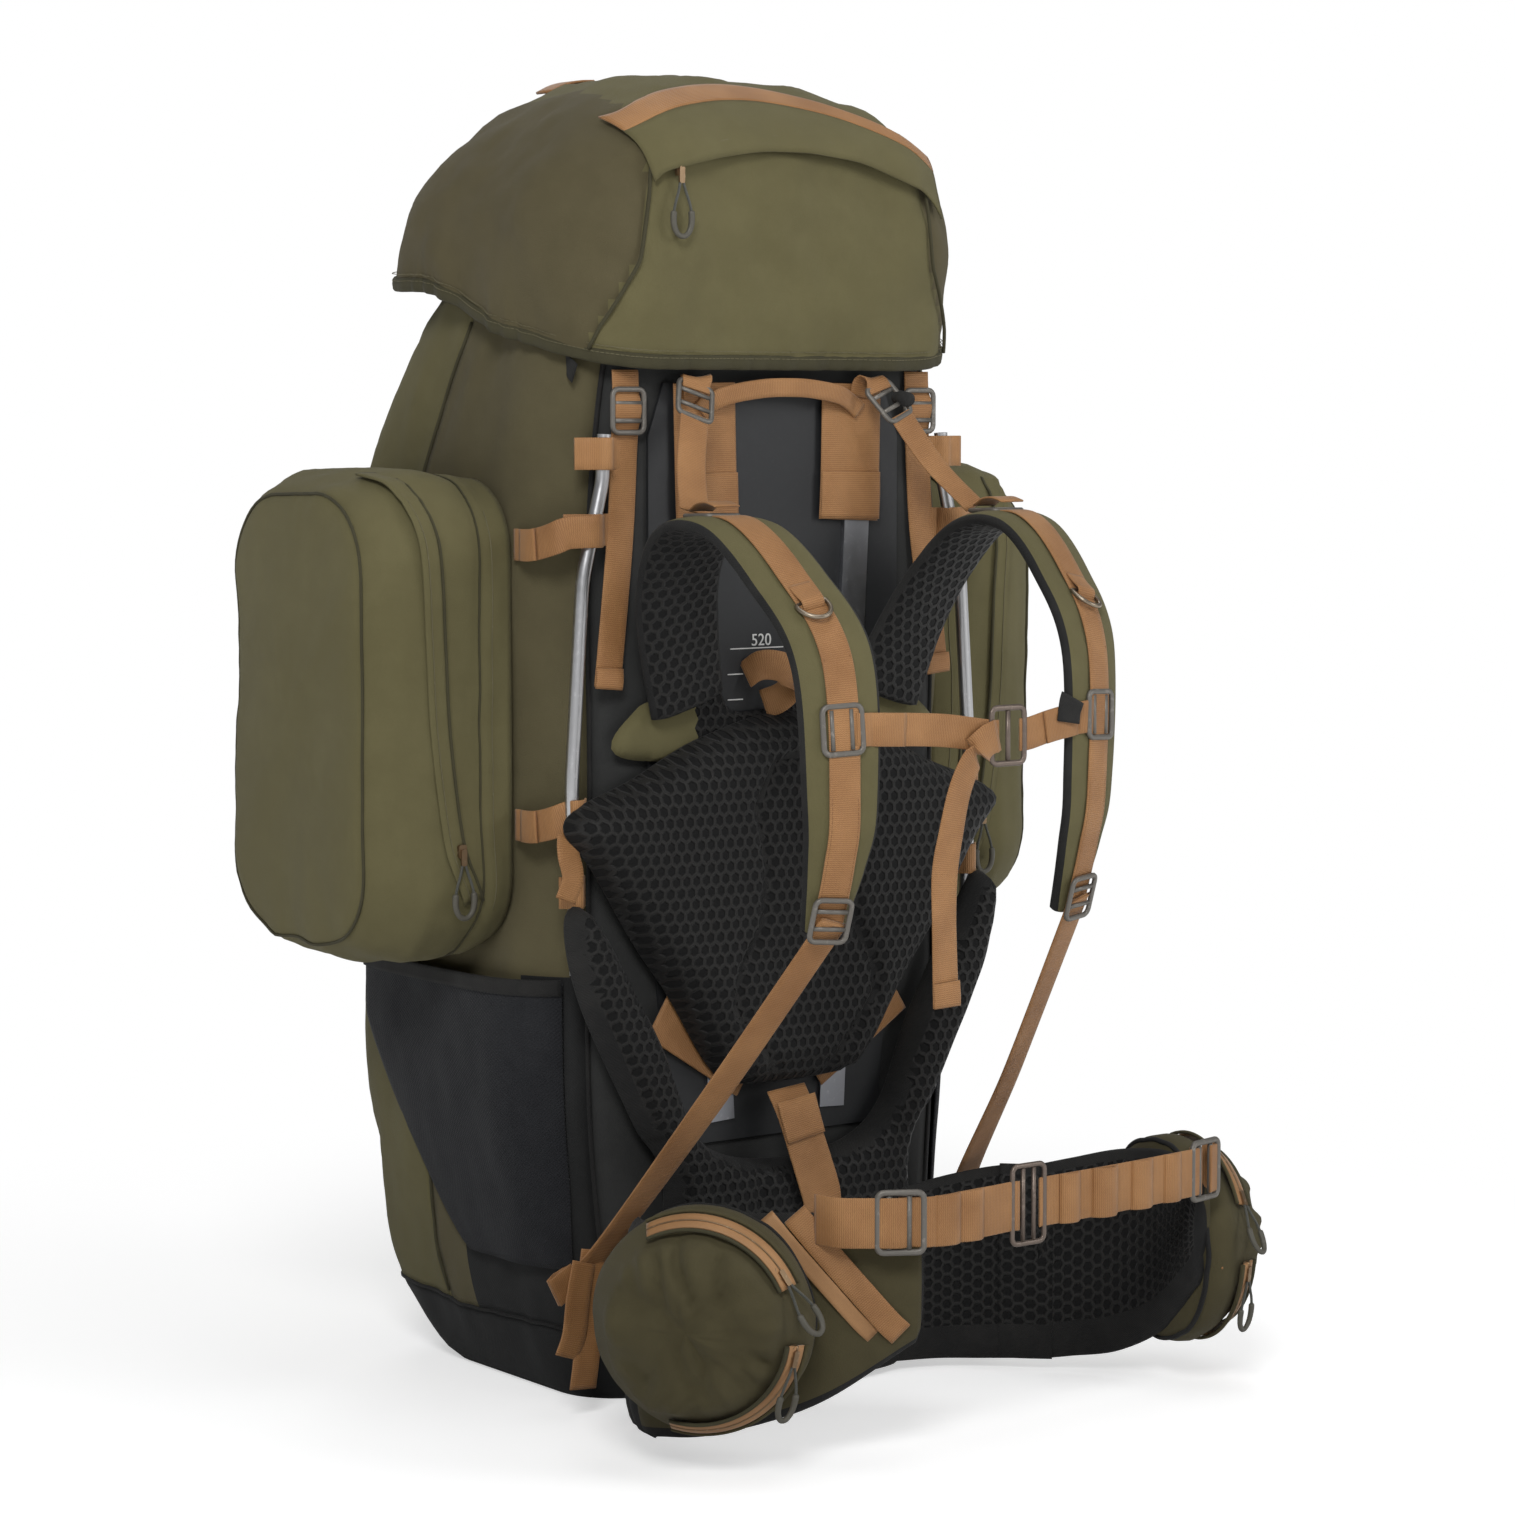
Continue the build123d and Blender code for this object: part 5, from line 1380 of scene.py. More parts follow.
knot = [tube_parts([(112, -166, 801), (112, -171, 800), (112, -178, 799)], 7.5, flat=0.8,
                   facing=(0, 0, 1), sides_count=14)]
joined("cord_stop", knot, "pack", "buckle_metal", black_binding)

# ------------------------------------------------------------------ yoke, lumbar pad, hip pad


def eased_edge(distance, thickness, radius):
    """A pad's height, rounded off towards its outline."""
    t = np.clip(distance / radius, 0, 1)
    return thickness * np.sqrt(1 - (1 - t) ** 2)


yoke_outline = [(-142, 517), (142, 517), (140, 557), (96, 566), (62, 571), (46, 556), (0, 553),
                (-46, 552), (-62, 571), (-96, 566), (-140, 557)]
upright_pad("yoke_pad", yoke_outline, -151.6, lambda d, p: eased_edge(d, 5.2, 6), "pack",
            "mesh_padding", [spacer_mesh, black_binding, olive],
            lambda m: 2 if abs(m[0]) > 84 else 0, stands_for=["harness_yoke"], fill=0.4)
strap("yoke_handle", [(-34, -153, 580), (-26, -164, 588), (-12, -174, 586), (-2, -175, 574),
                      (-8, -166, 562), (-18, -156, 556)], (0.3, 0, 1), 24, "pack", step=3)

lumbar_outline = [(0, 550), (85, 532), (150, 503), (200, 484), (214, 466), (188, 434), (150, 375),
                  (116, 330), (75, 268), (45, 252), (-45, 252), (-75, 268), (-116, 330),
                  (-150, 375), (-188, 434), (-214, 466), (-200, 484), (-150, 503), (-85, 532)]
lumbar_seam = arr([(-26, 262), (-70, 318), (-66, 350), (-46, 380), (-40, 430), (-50, 478),
                   (-30, 512), (0, 520)])
lumbar_seam = np.vstack([lumbar_seam, lumbar_seam[::-1] * (-1, 1)])


def lumbar_lift(d, p):
    lift = eased_edge(d, 34, 30)
    lift = lift + 3.5 * np.exp(-((p[:, 1] - 400) / 90) ** 2) * np.clip(d / 40, 0, 1)
    gap = line_distance(p, lumbar_seam)
    mid = inside(p, lumbar_seam)
    lift = lift - 7.0 * np.exp(-(gap / 5.0) ** 2) * np.clip(d / 16, 0, 1)
    lift = lift - np.where(mid, 3.0, 0) * np.clip(gap / 10, 0, 1)
    wave = arr([noise.noise(Vector((a / 42, b / 42, 2.0))) for a, b in p])
    return np.maximum(lift + wave * 2.2 * np.clip(d / 20, 0, 1), 1.5)


upright_pad("lumbar_cushion", lumbar_outline, -158.5, lumbar_lift, "pack", "mesh_padding",
            [spacer_mesh, black_binding],
            lambda m: 1 if line_distance(arr([m]), lumbar_seam)[0] < 2.0 else 0,
            pitch=5.5, stands_for=["lumbar_pad"], fill=0.75)

hip_outline = [(-118, 8), (118, 8), (120, 175), (150, 232), (200, 330), (214, 394), (196, 404),
               (162, 352), (126, 288), (98, 224), (60, 196), (0, 188), (-60, 196), (-98, 224),
               (-126, 288), (-162, 352), (-196, 404), (-214, 394), (-200, 330), (-150, 232),
               (-120, 175)]


def hip_lift(d, p):
    lift = eased_edge(d, 27, 17)
    gap = np.abs(np.abs(p[:, 0]) - 40)
    lift = lift - 4.0 * np.exp(-(gap / 5.0) ** 2) * (p[:, 1] < 196) * np.clip(d / 10, 0, 1)
    wave = arr([noise.noise(Vector((a / 36, b / 36, 5.0))) for a, b in p])
    return np.maximum(lift + wave * 2.0 * np.clip(d / 16, 0, 1), 1.5)


hip_edge = eased(hip_outline, 6, True)[:-1]


def hip_region(m):
    d = outline_distance(arr([m]), hip_edge)[0]
    return 1 if d < 7 or m[1] < 40 else 0


upright_pad("hip_pad_cushion", hip_outline, -158.5, hip_lift, "pack", "mesh_padding",
            [spacer_mesh, black_binding], hip_region, pitch=6.0,
            stands_for=["hip_pad_back"], fill=0.75)

# ------------------------------------------------------------------ padded bands


def padded_band(name, points, across, widths, thickness, body, mats, picks, stands_for,
                step=6.0, crown=0.35, fill=0.7, slot="mesh_padding", seam=(), ends=(1.0, 1.0),
                upright=False):
    """A stuffed band along a line; its section has a crowned outer and inner face.

    picks(share, outer, run) gives a material number: share goes from -1 to 1 across the
    band, outer is its outer face and run goes from 0 to 1 along it. seam lists grooves as
    (share, depth); ends says how far each end swells.
    """
    points, across = arr(points), arr(across)
    widths = np.broadcast_to(arr(widths), (len(points),)).reshape(-1, 1)
    line = smooth_line(points, step, (across, widths))
    centre, sidew, wide = line[:, :3], line[:, 3:6], line[:, 6]
    way = tangents(centre * (1, 1, 0) if upright else centre)
    sidew = sidew - way * (sidew * way).sum(1)[:, None]
    sidew /= np.linalg.norm(sidew, axis=1)[:, None]
    up = np.cross(way, sidew)
    count = 26
    shares = np.cos(np.linspace(math.pi, 0, count // 2 + 1))
    shares = np.sign(shares) * np.abs(shares) ** 0.85
    profile = [(s, 1) for s in shares] + [(s, -1) for s in shares[::-1]]
    run = np.r_[0, np.cumsum(np.linalg.norm(np.diff(centre, axis=0), axis=1))]
    ring = []
    for s, face in profile:
        height = thickness / 2 * ((1 - crown) * (1 - abs(s) ** 7) ** 0.5 + crown * (1 - s * s))
        if abs(s) > 0.999:
            height = 0.15
        wave = arr([noise.noise(Vector((a / 26, s * 1.7, face * 3.1))) for a in run])
        lift = face * height + wave * (1 - s * s)
        for at, depth in seam:
            lift = lift - face * depth * math.exp(-((s - at) / 0.06) ** 2)
        ring.append(centre + sidew * (s * wide / 2)[:, None] + up * lift[:, None])
    grid = np.stack(ring, 1)
    # rounded ends
    first, last = grid[0].mean(0), grid[-1].mean(0)
    nose = []
    for share, ahead in ((0.5, -3.2), (0.82, -2.0)):
        nose.append(first + (grid[0] - first) * share + way[0] * ahead * ends[0])
    tail = []
    for share, ahead in ((0.82, 2.0), (0.5, 3.2)):
        tail.append(last + (grid[-1] - last) * share + way[-1] * ahead * ends[1])
    grid = np.concatenate([np.stack(nose), grid, np.stack(tail)], 0)
    verts, faces, uvs = grid_parts(grid, True, (True, True))
    chosen = []
    cols = grid.shape[1]
    for f in faces[:(len(grid) - 1) * cols]:
        j = f[0] % cols
        s = (profile[j][0] + profile[(j + 1) % cols][0]) / 2
        row = f[0] // cols
        chosen.append(picks(s, profile[j][1] > 0 and profile[(j + 1) % cols][1] > 0,
                            row / (len(grid) - 1)))
    chosen += [chosen[0]] * (len(faces) - len(chosen))
    return finish_mesh(name, verts, faces, uvs, body, slot, mats, face_mats=chosen,
                       stands_for=stands_for, padded=fill)


pad_line = arr([(99, -163.6, 560), (116, -176, 614), (132, -198, 662), (142, -236, 699),
                (141, -290, 700), (135, -340, 664), (126, -383, 606), (122, -388, 500),
                (121, -380, 455), (121, -364, 404)])
pad_across = arr([(1, 0, -0.31), (1, 0.05, 0), (1, 0.1, 0), (1, 0.15, 0), (1, 0.2, 0),
                  (1, 0.24, 0), (1, 0.26, 0), (1, 0.26, 0), (1, 0.26, 0), (1, 0.26, 0)])
pad_width = [72, 72, 72, 72, 68, 68, 68, 62, 52, 34]


def strap_frame(line, across):
    """Way, width and outward directions of a shoulder strap at each of its points."""
    way = [unit(line[min(i + 1, len(line) - 1)] - line[max(i - 1, 0)]) for i in range(len(line))]
    out = [unit(np.cross(w, s)) for w, s in zip(way, across)]
    return arr(way), arr(out)


pad_way, pad_out = strap_frame(pad_line, pad_across)


def raised(lift, sign):
    """A shoulder strap's line, lifted off its middle."""
    return (pad_line + pad_out * lift) * (sign, 1, 1)


def turned(sign):
    """A shoulder strap's width directions on one side."""
    return pad_across * (1, sign, sign)


def lock_place(index, share, lift, sign):
    """Middle and own axes of a lock lying on a shoulder strap."""
    line = pad_line + pad_out * lift
    start, end = line[index], line[index + 1]
    way = unit(end - start)
    across = pad_across[index]
    across = unit(across - way * (across @ way))
    middle = start + (end - start) * share
    return middle * (sign, 1, 1), across * (1, sign, sign), way * (sign, 1, 1)


def shoulder_picks(s, outer, share):
    if abs(s) > 0.9:
        return 1
    return 0 if outer else 2


for side, sign in sides:
    body = f"shoulder_{side}"
    rows = turned(sign)
    padded_band(f"shoulder_strap_pad_{side}", raised(0, sign), rows, pad_width, 15.0, body,
                [olive, black_binding, spacer_mesh], shoulder_picks, [f"shoulder_pad_{side}"])
    web_rows = []
    lifted = raised(8.6, sign)
    web_rows.append(band(lifted[3:], rows[3:], web_width, thickness=1.8))
    top = arr((97, -172, 798)) + lift_way * 14
    low = (pad_line + pad_out * 12.6)[3] - lift_way * 3
    sag = (top + low) / 2 + arr((0, 4, -3))
    lifter = arr([top, sag, low]) * (sign, 1, 1)
    web_rows.append(band(lifter, (1, 0, 0), web_width, thickness=1.8))
    # the lifter's loose end: a short folded loop over the lock
    middle, across, way = lock_place(3, 0.36, 12.4, sign)
    out = np.cross(way, across) * sign
    out = out if out[2] > 0 else -out
    loose = [middle + way * -14 + out * 4, middle - way * 4 + out * 9,
             middle + way * 8 + out * 10, middle + way * 20 + out * 7]
    web_rows.append(band(loose, across, 24, step=3))
    joined(f"shoulder_strap_webbing_{side}", web_rows, body, "webbing", tan_webbing,
           stands_for=[f"shoulder_webbing_{side}"])
    bars = []
    for index, share in ((3, 0.36), (8, 0.78)):
        middle, across, way = lock_place(index, share, 12.2, sign)
        bars += buckle_parts(middle, across, way, *lock_size, (0.17, -0.2))
    joined(f"shoulder_lock_buckles_{side}", bars, body, "buckle_metal", buckle_metal,
           stands_for=[f"shoulder_locks_{side}"])
    start = (pad_line + pad_out * 8.6)[-1]
    end = arr((185, -157.1, 126))
    run = unit(end - start)
    points = [start - run * 9, start + run * 4, start + (end - start) * 0.5 + arr((0, 0, -4)),
              end - run * 6, end + arr((38, 2.5, -22))]
    lower = []
    lower.append(band(arr(points) * (sign, 1, 1), [(1, 0.26 * sign, 0)] * 3 + [(1, 0, 0)] * 2,
                      web_width, thickness=1.8, step=5))
    lower.append(band(arr([end + arr((18, -1.4, -10)), end + arr((28, -0.8, -16)),
                      end + arr((38, -0.2, -22))]) * (sign, 1, 1), (1, 0, 0), 25.6,
                      thickness=1.5))
    joined(f"lower_strap_webbing_{side}", lower, body, "webbing", tan_webbing,
           stands_for=[f"lower_strap_{side}"])

ring_places = {-1: ((-133.811, -364.871, 648), (0.975423, -0.09679, 0.197942)),
               1: ((133.811, -364.871, 648), (0.975423, 0.09679, -0.197942))}
for side, sign in sides:
    middle, across = arr(ring_places[sign][0]), unit(ring_places[sign][1])
    way = unit((pad_line[6] - pad_line[5]) * (sign, 1, 1))
    up = np.cross(way, across)
    up = up if up[1] < 0 else -up
    middle = middle + up * 2.0
    half = 12.6
    drop = unit(way + up * 0.42)
    outline = [middle - across * (half - 2), middle + across * (half - 2)]
    for t in np.linspace(0, math.pi, 13):
        outline.append(middle + across * (half * math.cos(t))
                       + drop * (4.4 + half * 1.15 * math.sin(t)))
    parts = [tube_parts(smooth_line(outline, 2.2, closed=True)[:-1], 1.8, True, sides_count=10)]
    joined(f"ring_wire_{side}", parts, f"d_ring_{side}", "ring_metal", ring_metal,
           stands_for=[f"d_ring_{side}"])
    keeper = []
    keeper.append(band([middle - way * 17 - up * 1.2, middle - way * 7 + up * 2.0,
                       middle + up * 4.8, middle + way * 4.5 + up * 3.0,
                       middle + way * 7 - up * 0.8], across, 19, step=2.5))
    joined(f"ring_keeper_{side}", keeper, f"shoulder_{side}", "webbing", tan_webbing)

# ------------------------------------------------------------------ sternum strap

for side, sign in sides:
    way = unit((pad_line[7] - pad_line[6]) * (sign, 1, 1))
    across = pad_across[7]
    across = unit(across * (1, sign, sign) - way * ((across * (1, sign, sign)) @ way))
    middle = arr((sign * 126.857, -396.9, 556))
    bars = buckle_parts(middle, across, way, 36, 40, (), 4.6, 4.4)
    for x in (-0.24, 0.2):
        ends = [middle + across * (x * 36) - way * 15, middle + across * (x * 36),
                middle + across * (x * 36) + way * 15]
        bars.append(tube_parts(ends, 1.9, facing=np.cross(way, across)))
    joined(f"sternum_slider_bars_{side}", bars, f"sternum_{side}", "buckle_metal", buckle_metal,
           stands_for=[f"sternum_slider_{side}"])

left_rows = []
left_rows.append(band([(-117, -399.5, 556), (-108, -401.8, 555.6), (-98, -400.2, 555.2),
                      (-40, -403, 552), (0, -403.6, 546.5), (12, -404.6, 545), (16, -406.3, 545)],
                      across_z, web_width))
left_rows.append(band([(-106, -398.4, 555.4), (-96, -402, 555), (-84, -402.9, 554.4),
                      (-72, -402.6, 553.8)], across_z, web_width))
left_rows.append(band([(14, -407.4, 546), (0, -408.6, 541), (-14, -409.4, 527), (-25, -409, 505),
                      (-31.5, -407.4, 475), (-37, -406.8, 445), (-38, -407.4, 410),
                      (-36.4, -406.6, 375), (-35.5, -407, 343)], [(0.15, 0, 1), (0.4, 0.05, 0.9),
                      (0.85, 0.1, 0.55), (1, 0.1, 0.3), (1, 0.05, 0.2), (1, 0, 0.1), (1, 0.08, 0),
                      (1, 0.05, 0), (1, 0, 0)], web_width))
left_rows.append(band([(-36.4, -408.8, 362), (-35.8, -409.2, 351), (-35.5, -408.8, 343)],
                      (1, 0, 0), 25.6, thickness=1.6, step=3))
joined("sternum_webbing_left", left_rows, "sternum_left", "webbing", tan_webbing,
       stands_for=["sternum_strap_left"])
right_rows = []
right_rows.append(band([(117, -399.5, 556), (106, -401.6, 555), (96, -400.4, 554),
                       (70, -402.4, 550), (48, -404, 545.5), (38, -404.6, 545)], across_z,
                       web_width))
right_rows.append(band([(100, -400.6, 554.2), (90, -402.9, 553), (78, -403.6, 551.4),
                       (64, -404.4, 549)], across_z, web_width))
joined("sternum_webbing_right", right_rows, "sternum_right", "webbing", tan_webbing,
       stands_for=["sternum_strap_right"])
strap("sternum_tag", [(92, -404.2, 571), (88, -405.4, 563), (86, -406, 552)],
      (1, -0.02, 0.25), 22, "sternum_right", black_binding, "webbing", thickness=1.1, step=3)


def hook_parts_of(middle, width, height, slots, thick, deep):
    """A flat metal hook: a rounded frame and upright bars."""
    parts = buckle_parts(middle, (1, 0, 0), (0, 0, 1), width, height, (), thick, deep)
    room = (width - thick) / slots
    for k in range(1, slots):
        x = -width / 2 + thick / 2 + k * room
        ends = [arr(middle) + (x, 0, -height / 2 + thick), arr(middle) + (x, 0, 0),
                arr(middle) + (x, 0, height / 2 - thick)]
        parts.append(tube_parts(ends, thick / 2 * 0.9, flat=deep / thick, facing=(0, -1, 0)))
    return parts


joined("sternum_hook_plate", hook_parts_of((26, -405, 545), 37, 47, 2, 4.6, 3.6), "sternum_left",
       "hook_metal", hook_metal, stands_for=["sternum_hook"])

# ------------------------------------------------------------------ hip belt

wing_lines = {
    "left": [(-200, -243), (-205, -272), (-184, -318), (-130, -372), (-68, -412)],
    "right": [(190, -240), (217, -265), (240, -300), (250, -345), (236, -396)],
}
root_lines = {"left": [(-96, -180), (-150, -196), (-186, -216), (-200, -242.9)],
              "right": [(96, -178), (135, -192), (165, -214), (189.95, -239.9)]}
lows, highs = [9, 12, 20, 46, 92], [172, 178, 188, 192, 186]
for side, sign in sides:
    def wing_picks(s, outer, share, side=side):
        inner = (not outer) if side == "left" else outer
        if abs(s) > 0.88 or share > 0.97:
            return 1
        if inner:
            return 1 if s < -0.52 else 2
        return 0

    def root_picks(s, outer, share, side=side):
        return wing_picks(s, outer, share * 0.9, side)

    mid = [(x, y, (a + b) / 2) for (x, y), a, b in zip(wing_lines[side], lows, highs)]
    wide = [b - a for a, b in zip(lows, highs)]
    start = unit(arr(mid[1]) - arr(mid[0]))
    hinge = arr(mid[0])
    mid[0] = tuple(hinge + start * (1, 1, 0) * 10)
    padded_band(f"hip_wing_pad_{side}", mid, [across_z] * 5, wide, 24, f"hip_wing_{side}",
                [hip_olive_painted_shade, black_binding, spacer_mesh], wing_picks, [f"hip_wing_{side}"], step=6,
                fill=0.75, crown=0.45, seam=((-0.5, 2.0),), ends=(0.0, 1.6), upright=True)
    mid = [(x, y, (a + b) / 2) for (x, y), a, b in zip(root_lines[side], [8, 8, 8, 9],
                                                      [150, 160, 168, 172])]
    back = unit((arr(mid[2]) - arr(mid[3])) * (1, 1, 0))
    mid[3] = tuple(arr(mid[3]) + back * 10)
    start = unit(start * (1, 1, 0))
    padded_band(f"hip_hinge_sleeve_{side}", [hinge + back * 22, hinge + back * 10, hinge,
                                             hinge + start * 10, hinge + start * 22],
                [across_z] * 5, [163] * 5, 24.6,
                ("pack", f"hip_wing_{side}", tuple((hinge + back * 13) * MM),
                 tuple((hinge + start * 13) * MM)),
                [black_nylon, black_binding, spacer_mesh],
                root_picks, (),
                step=3, fill=None, crown=0.45, ends=(0.6, 0.6), upright=True)
    padded_band(f"hip_root_pad_{side}", mid, [across_z] * 4, [142, 152, 160, 163], 24, "pack",
                [black_nylon, black_binding, spacer_mesh],
                root_picks, (),
                step=6, fill=0.75, crown=0.45, ends=(0.3, 0.0), upright=True)

pocket_centres = {"left": arr((-186, -316, 116)), "right": arr((243, -322, 116))}
pocket_ways = {"left": unit((-0.78, -0.63, 0)), "right": unit((0.97, -0.22, 0))}
rim_ways = (1.0, 0.7, 0.45, 0.35, 0.3, 0.3, 0.35, 0.6)  # how freely each ring moves sideways
zip_spans = {"left": ((24, 118), (-8, -104)), "right": ((28, 112), (-6, -100))}
for side, sign in sides:
    body = f"hip_wing_{side}"
    centre, out = pocket_centres[side], pocket_ways[side]
    level = np.cross((0, 0, 1), out)
    if side == "right":
        level = -level
    up = arr((0, 0, 1))
    turns = np.linspace(0, 2 * math.pi, 120, endpoint=False)

    def pocket_point(angle, radius, distance):
        return centre + out * distance + (level * math.cos(angle) + up * math.sin(angle)) * radius

    shape = [(12, 77), (16, 83), (24, 86), (33, 86.5), (42, 83), (52, 76.5), (62, 70),
             (68.5, 66.3), (72, 62.5), (75.5, 56), (78.5, 48.5), (80.5, 40), (82, 31), (83, 22),
             (83.6, 12), (84, 2)]  # distance out and radius
    rows = []
    for number, (distance, radius) in enumerate(shape):
        row = []
        for t in turns:
            across, high = math.cos(t) * radius, math.sin(t) * radius
            pleat = 0.0
            if number >= 6:
                reach = radius / 64
                pleat = (1.5 * math.sin(t * 15 + 2.6 * math.sin(t * 3))
                         * math.exp(-((reach - 0.98) / 0.12) ** 2)
                         + 1.2 * math.sin(t * 6 + 0.6) * reach ** 2)
            lump = (3.4 * noise.noise(Vector((across / 42, high / 42, distance / 40 + sign)))
                    + 1.4 * noise.noise(Vector((across / 15, high / 15, distance / 14))))
            share = min(1.0, max(0.0, (number - 5) / 3))
            first = noise.noise(Vector((across / 30 + high / 80, high / 44, 3.7 + sign)))
            second = noise.noise(Vector((across / 17 + high / 40, high / 25, 8.1 * sign)))
            crease = share * (21.0 * (min(abs(first), 0.34) - 0.17)
                              + 10.0 * (min(abs(second), 0.3) - 0.15))
            wobble = 1 + share * (0.035 * math.sin(2 * t + 0.6) + 0.03 * math.sin(3 * t + 1.1)
                                  + 0.012 * math.sin(9 * t))
            side_way = rim_ways[number] if number < len(rim_ways) else 0.5
            face_way = 0.15 if number < 6 else share
            squat = 1 - 0.045 * max(0, math.sin(t)) * (number / 15)
            girth = (radius + (lump + pleat * 0.5) * side_way - 1.4) * squat * wobble
            row.append(pocket_point(t, girth, distance + (lump + pleat) * face_way + crease))
        rows.append(row)
    grid = arr(rows)
    grid[..., 2] = np.maximum(grid[..., 2], 22)
    # the hip pocket cloth takes the darker hip olive, which is painted shade
    finish_mesh(f"hip_pocket_cloth_{side}", *grid_parts(grid, True, (True, True)), body,
                "pack_fabric", hip_olive_painted_shade, stands_for=[f"hip_pocket_{side}"])
    piping(f"hip_pocket_back_piping_{side}", grid[1], 2.2, body, "pack_fabric", black_binding,
           closed=True, sides_count=6)
    for (start, stop), part in zip(zip_spans[side], ("upper", "lower")):
        angles = np.radians(np.linspace(start, stop, 44))

        def cone(angle, distance, lift):
            radius = np.interp(distance, [s[0] for s in shape[:9]], [s[1] for s in shape[:9]])
            radial = level * math.cos(angle) + up * math.sin(angle)
            normal = unit(radial * 39.5 + out * 22)
            return pocket_point(angle, radius, distance) + normal * (lift + 2.2)

        tape = arr([cone(a, 53, 0.6) for a in angles])
        cross = arr([unit(cone(a, 60, 0.6) - cone(a, 46, 0.6)) for a in angles])
        strap(f"hip_zip_tape_{part}_{side}", tape, cross, 15, body, satin_binding, "webbing",
              thickness=1.6, step=4)
        for shift, label in ((8.5, "outer"), (-8.5, "inner")):
            line = arr([cone(a, 53 + shift, 1.0) for a in angles])
            piping(f"hip_zip_flap_{label}_{part}_{side}", line, 1.9, body, "pack_fabric",
                   olive_binding if label == "outer" else hip_olive_painted_shade, sides_count=8, flat=0.8)
        line = arr([cone(a, 53, 1.4) for a in angles])
        piping(f"hip_zip_coil_{part}_{side}", line, 1.0, body, "zip_metal", zip_metal,
               sides_count=6, flat=0.7)

# satin and ribbed bands sewn across the left wing, and the webbing they hold
wing_face = {"left": ((-150, -372), (-84, -414)), "right": ((266, -356), (252, -402))}
for side, sign in sides:
    body = f"hip_wing_{side}"
    (x0, y0), (x1, y1) = wing_face[side]
    way = unit((x1 - x0, y1 - y0, 0))
    out = unit((way[1], -way[0], 0))
    out = out if out @ pocket_ways[side] > -0.2 else -out

    def on_wing(s, z, lift):
        return arr((x0 + (x1 - x0) * s, y0 + (y1 - y0) * s, z)) + out * lift

    path = [on_wing(-0.02, 192.5, -3), on_wing(0.03, 188, 1.5), on_wing(0.22, 170, 4.5),
            on_wing(0.55, 140, 6), on_wing(0.86, 112, 4), on_wing(1.0, 101, 0.5)]
    strap(f"wing_ribbed_band_{side}", path, np.cross(out, unit(path[4] - path[1])), 20, body,
          step=4)
    path = [p - way * 21 + arr((0, 0, -1)) for p in path]
    strap(f"wing_satin_band_{side}", path, np.cross(out, unit(path[4] - path[1])), 12, body,
          satin_binding, "webbing", step=4)

lean_left, lean_right = math.radians(30), math.radians(-12)
locks = {"left": ((-98, -430.6, 190), (math.cos(lean_left), -math.sin(lean_left), 0)),
         "right": ((226, -414.6, 190), (math.cos(lean_right), -math.sin(lean_right), 0))}
for side, sign in sides:
    middle, way = arr(locks[side][0]), unit(locks[side][1])
    bars = buckle_parts(middle, way, (0, 0, 1), 40, 50, (), 5.0, 4.6)
    for x in (-0.22, 0.16):
        ends = [middle + way * (x * 40) - arr((0, 0, 20)), middle + way * (x * 40),
                middle + way * (x * 40) + arr((0, 0, 20))]
        bars.append(tube_parts(ends, 2.1, facing=(way[1], -way[0], 0)))
    joined(f"hip_lock_bars_{side}", bars, f"hip_wing_{side}", "buckle_metal", buckle_metal,
           stands_for=[f"hip_lock_{side}"])

joined("hip_hook_plate", hook_parts_of((24, -434, 190), 36, 64, 3, 4.2, 3.8), "hip_wing_left",
       "hook_metal", hook_metal, stands_for=["hip_hook"])

belt = []
belt.append(band([(-141, -382, 190), (-137, -402, 190), (-126, -413, 190), (-114, -422, 190),
                 (-106, -428.5, 190), (-100, -432, 190), (-92, -433.5, 190)], across_z,
                 belt_width))
belt.append(band([(-98, -428, 190), (-88, -434.5, 190), (-80, -441.3, 190), (-62, -441.4, 190),
                 (-40, -438.9, 190), (-16, -437, 190), (6, -434.3, 190), (14, -435.4, 190)],
                 across_z, belt_width))
for x, deep in ((-58, 3.2), (-34, 3.4)):
    y = float(np.interp(x, [-80, -40, 6], [-441.4, -438.9, -434.3]))
    belt.append(band([(x - 16, y - 1.6, 190), (x - 8, y - deep - 1.4, 190),
                     (x + 2, y - deep - 2, 190), (x + 8, y - 1.8, 190)], across_z, 38.6, step=3))
joined("hip_belt_webbing_left", belt, "hip_wing_left", "webbing", tan_webbing,
       stands_for=["hip_webbing_left"])
belt = []
belt.append(band([(34, -435.4, 190), (42, -433.6, 190), (80, -431.5, 190), (130, -427.6, 190),
                 (170, -423.5, 190), (196, -420.5, 190), (210, -418.6, 190), (220, -416.8, 190)],
                 across_z, belt_width))
belt.append(band([(237.5, -399, 190), (247, -403, 190), (247.6, -408, 190), (238, -413, 190),
                 (230, -416, 190)], across_z, belt_width, step=3))
for x, deep, wide in ((66, 5.0, 20), (104, 7.5, 26), (146, 5.2, 22), (182, 3.6, 18)):
    y = float(np.interp(x, [42, 130, 205], [-433.6, -427.6, -419]))
    belt.append(band([(x - wide / 2, y - 1.7, 190), (x - wide / 4, y - deep, 190),
                     (x + wide / 5, y - deep - 0.6, 190), (x + wide / 2, y - 1.9, 190)], across_z,
                     38.6, step=3))
joined("hip_belt_webbing_right", belt, "hip_wing_right", "webbing", tan_webbing,
       stands_for=["hip_webbing_right"])

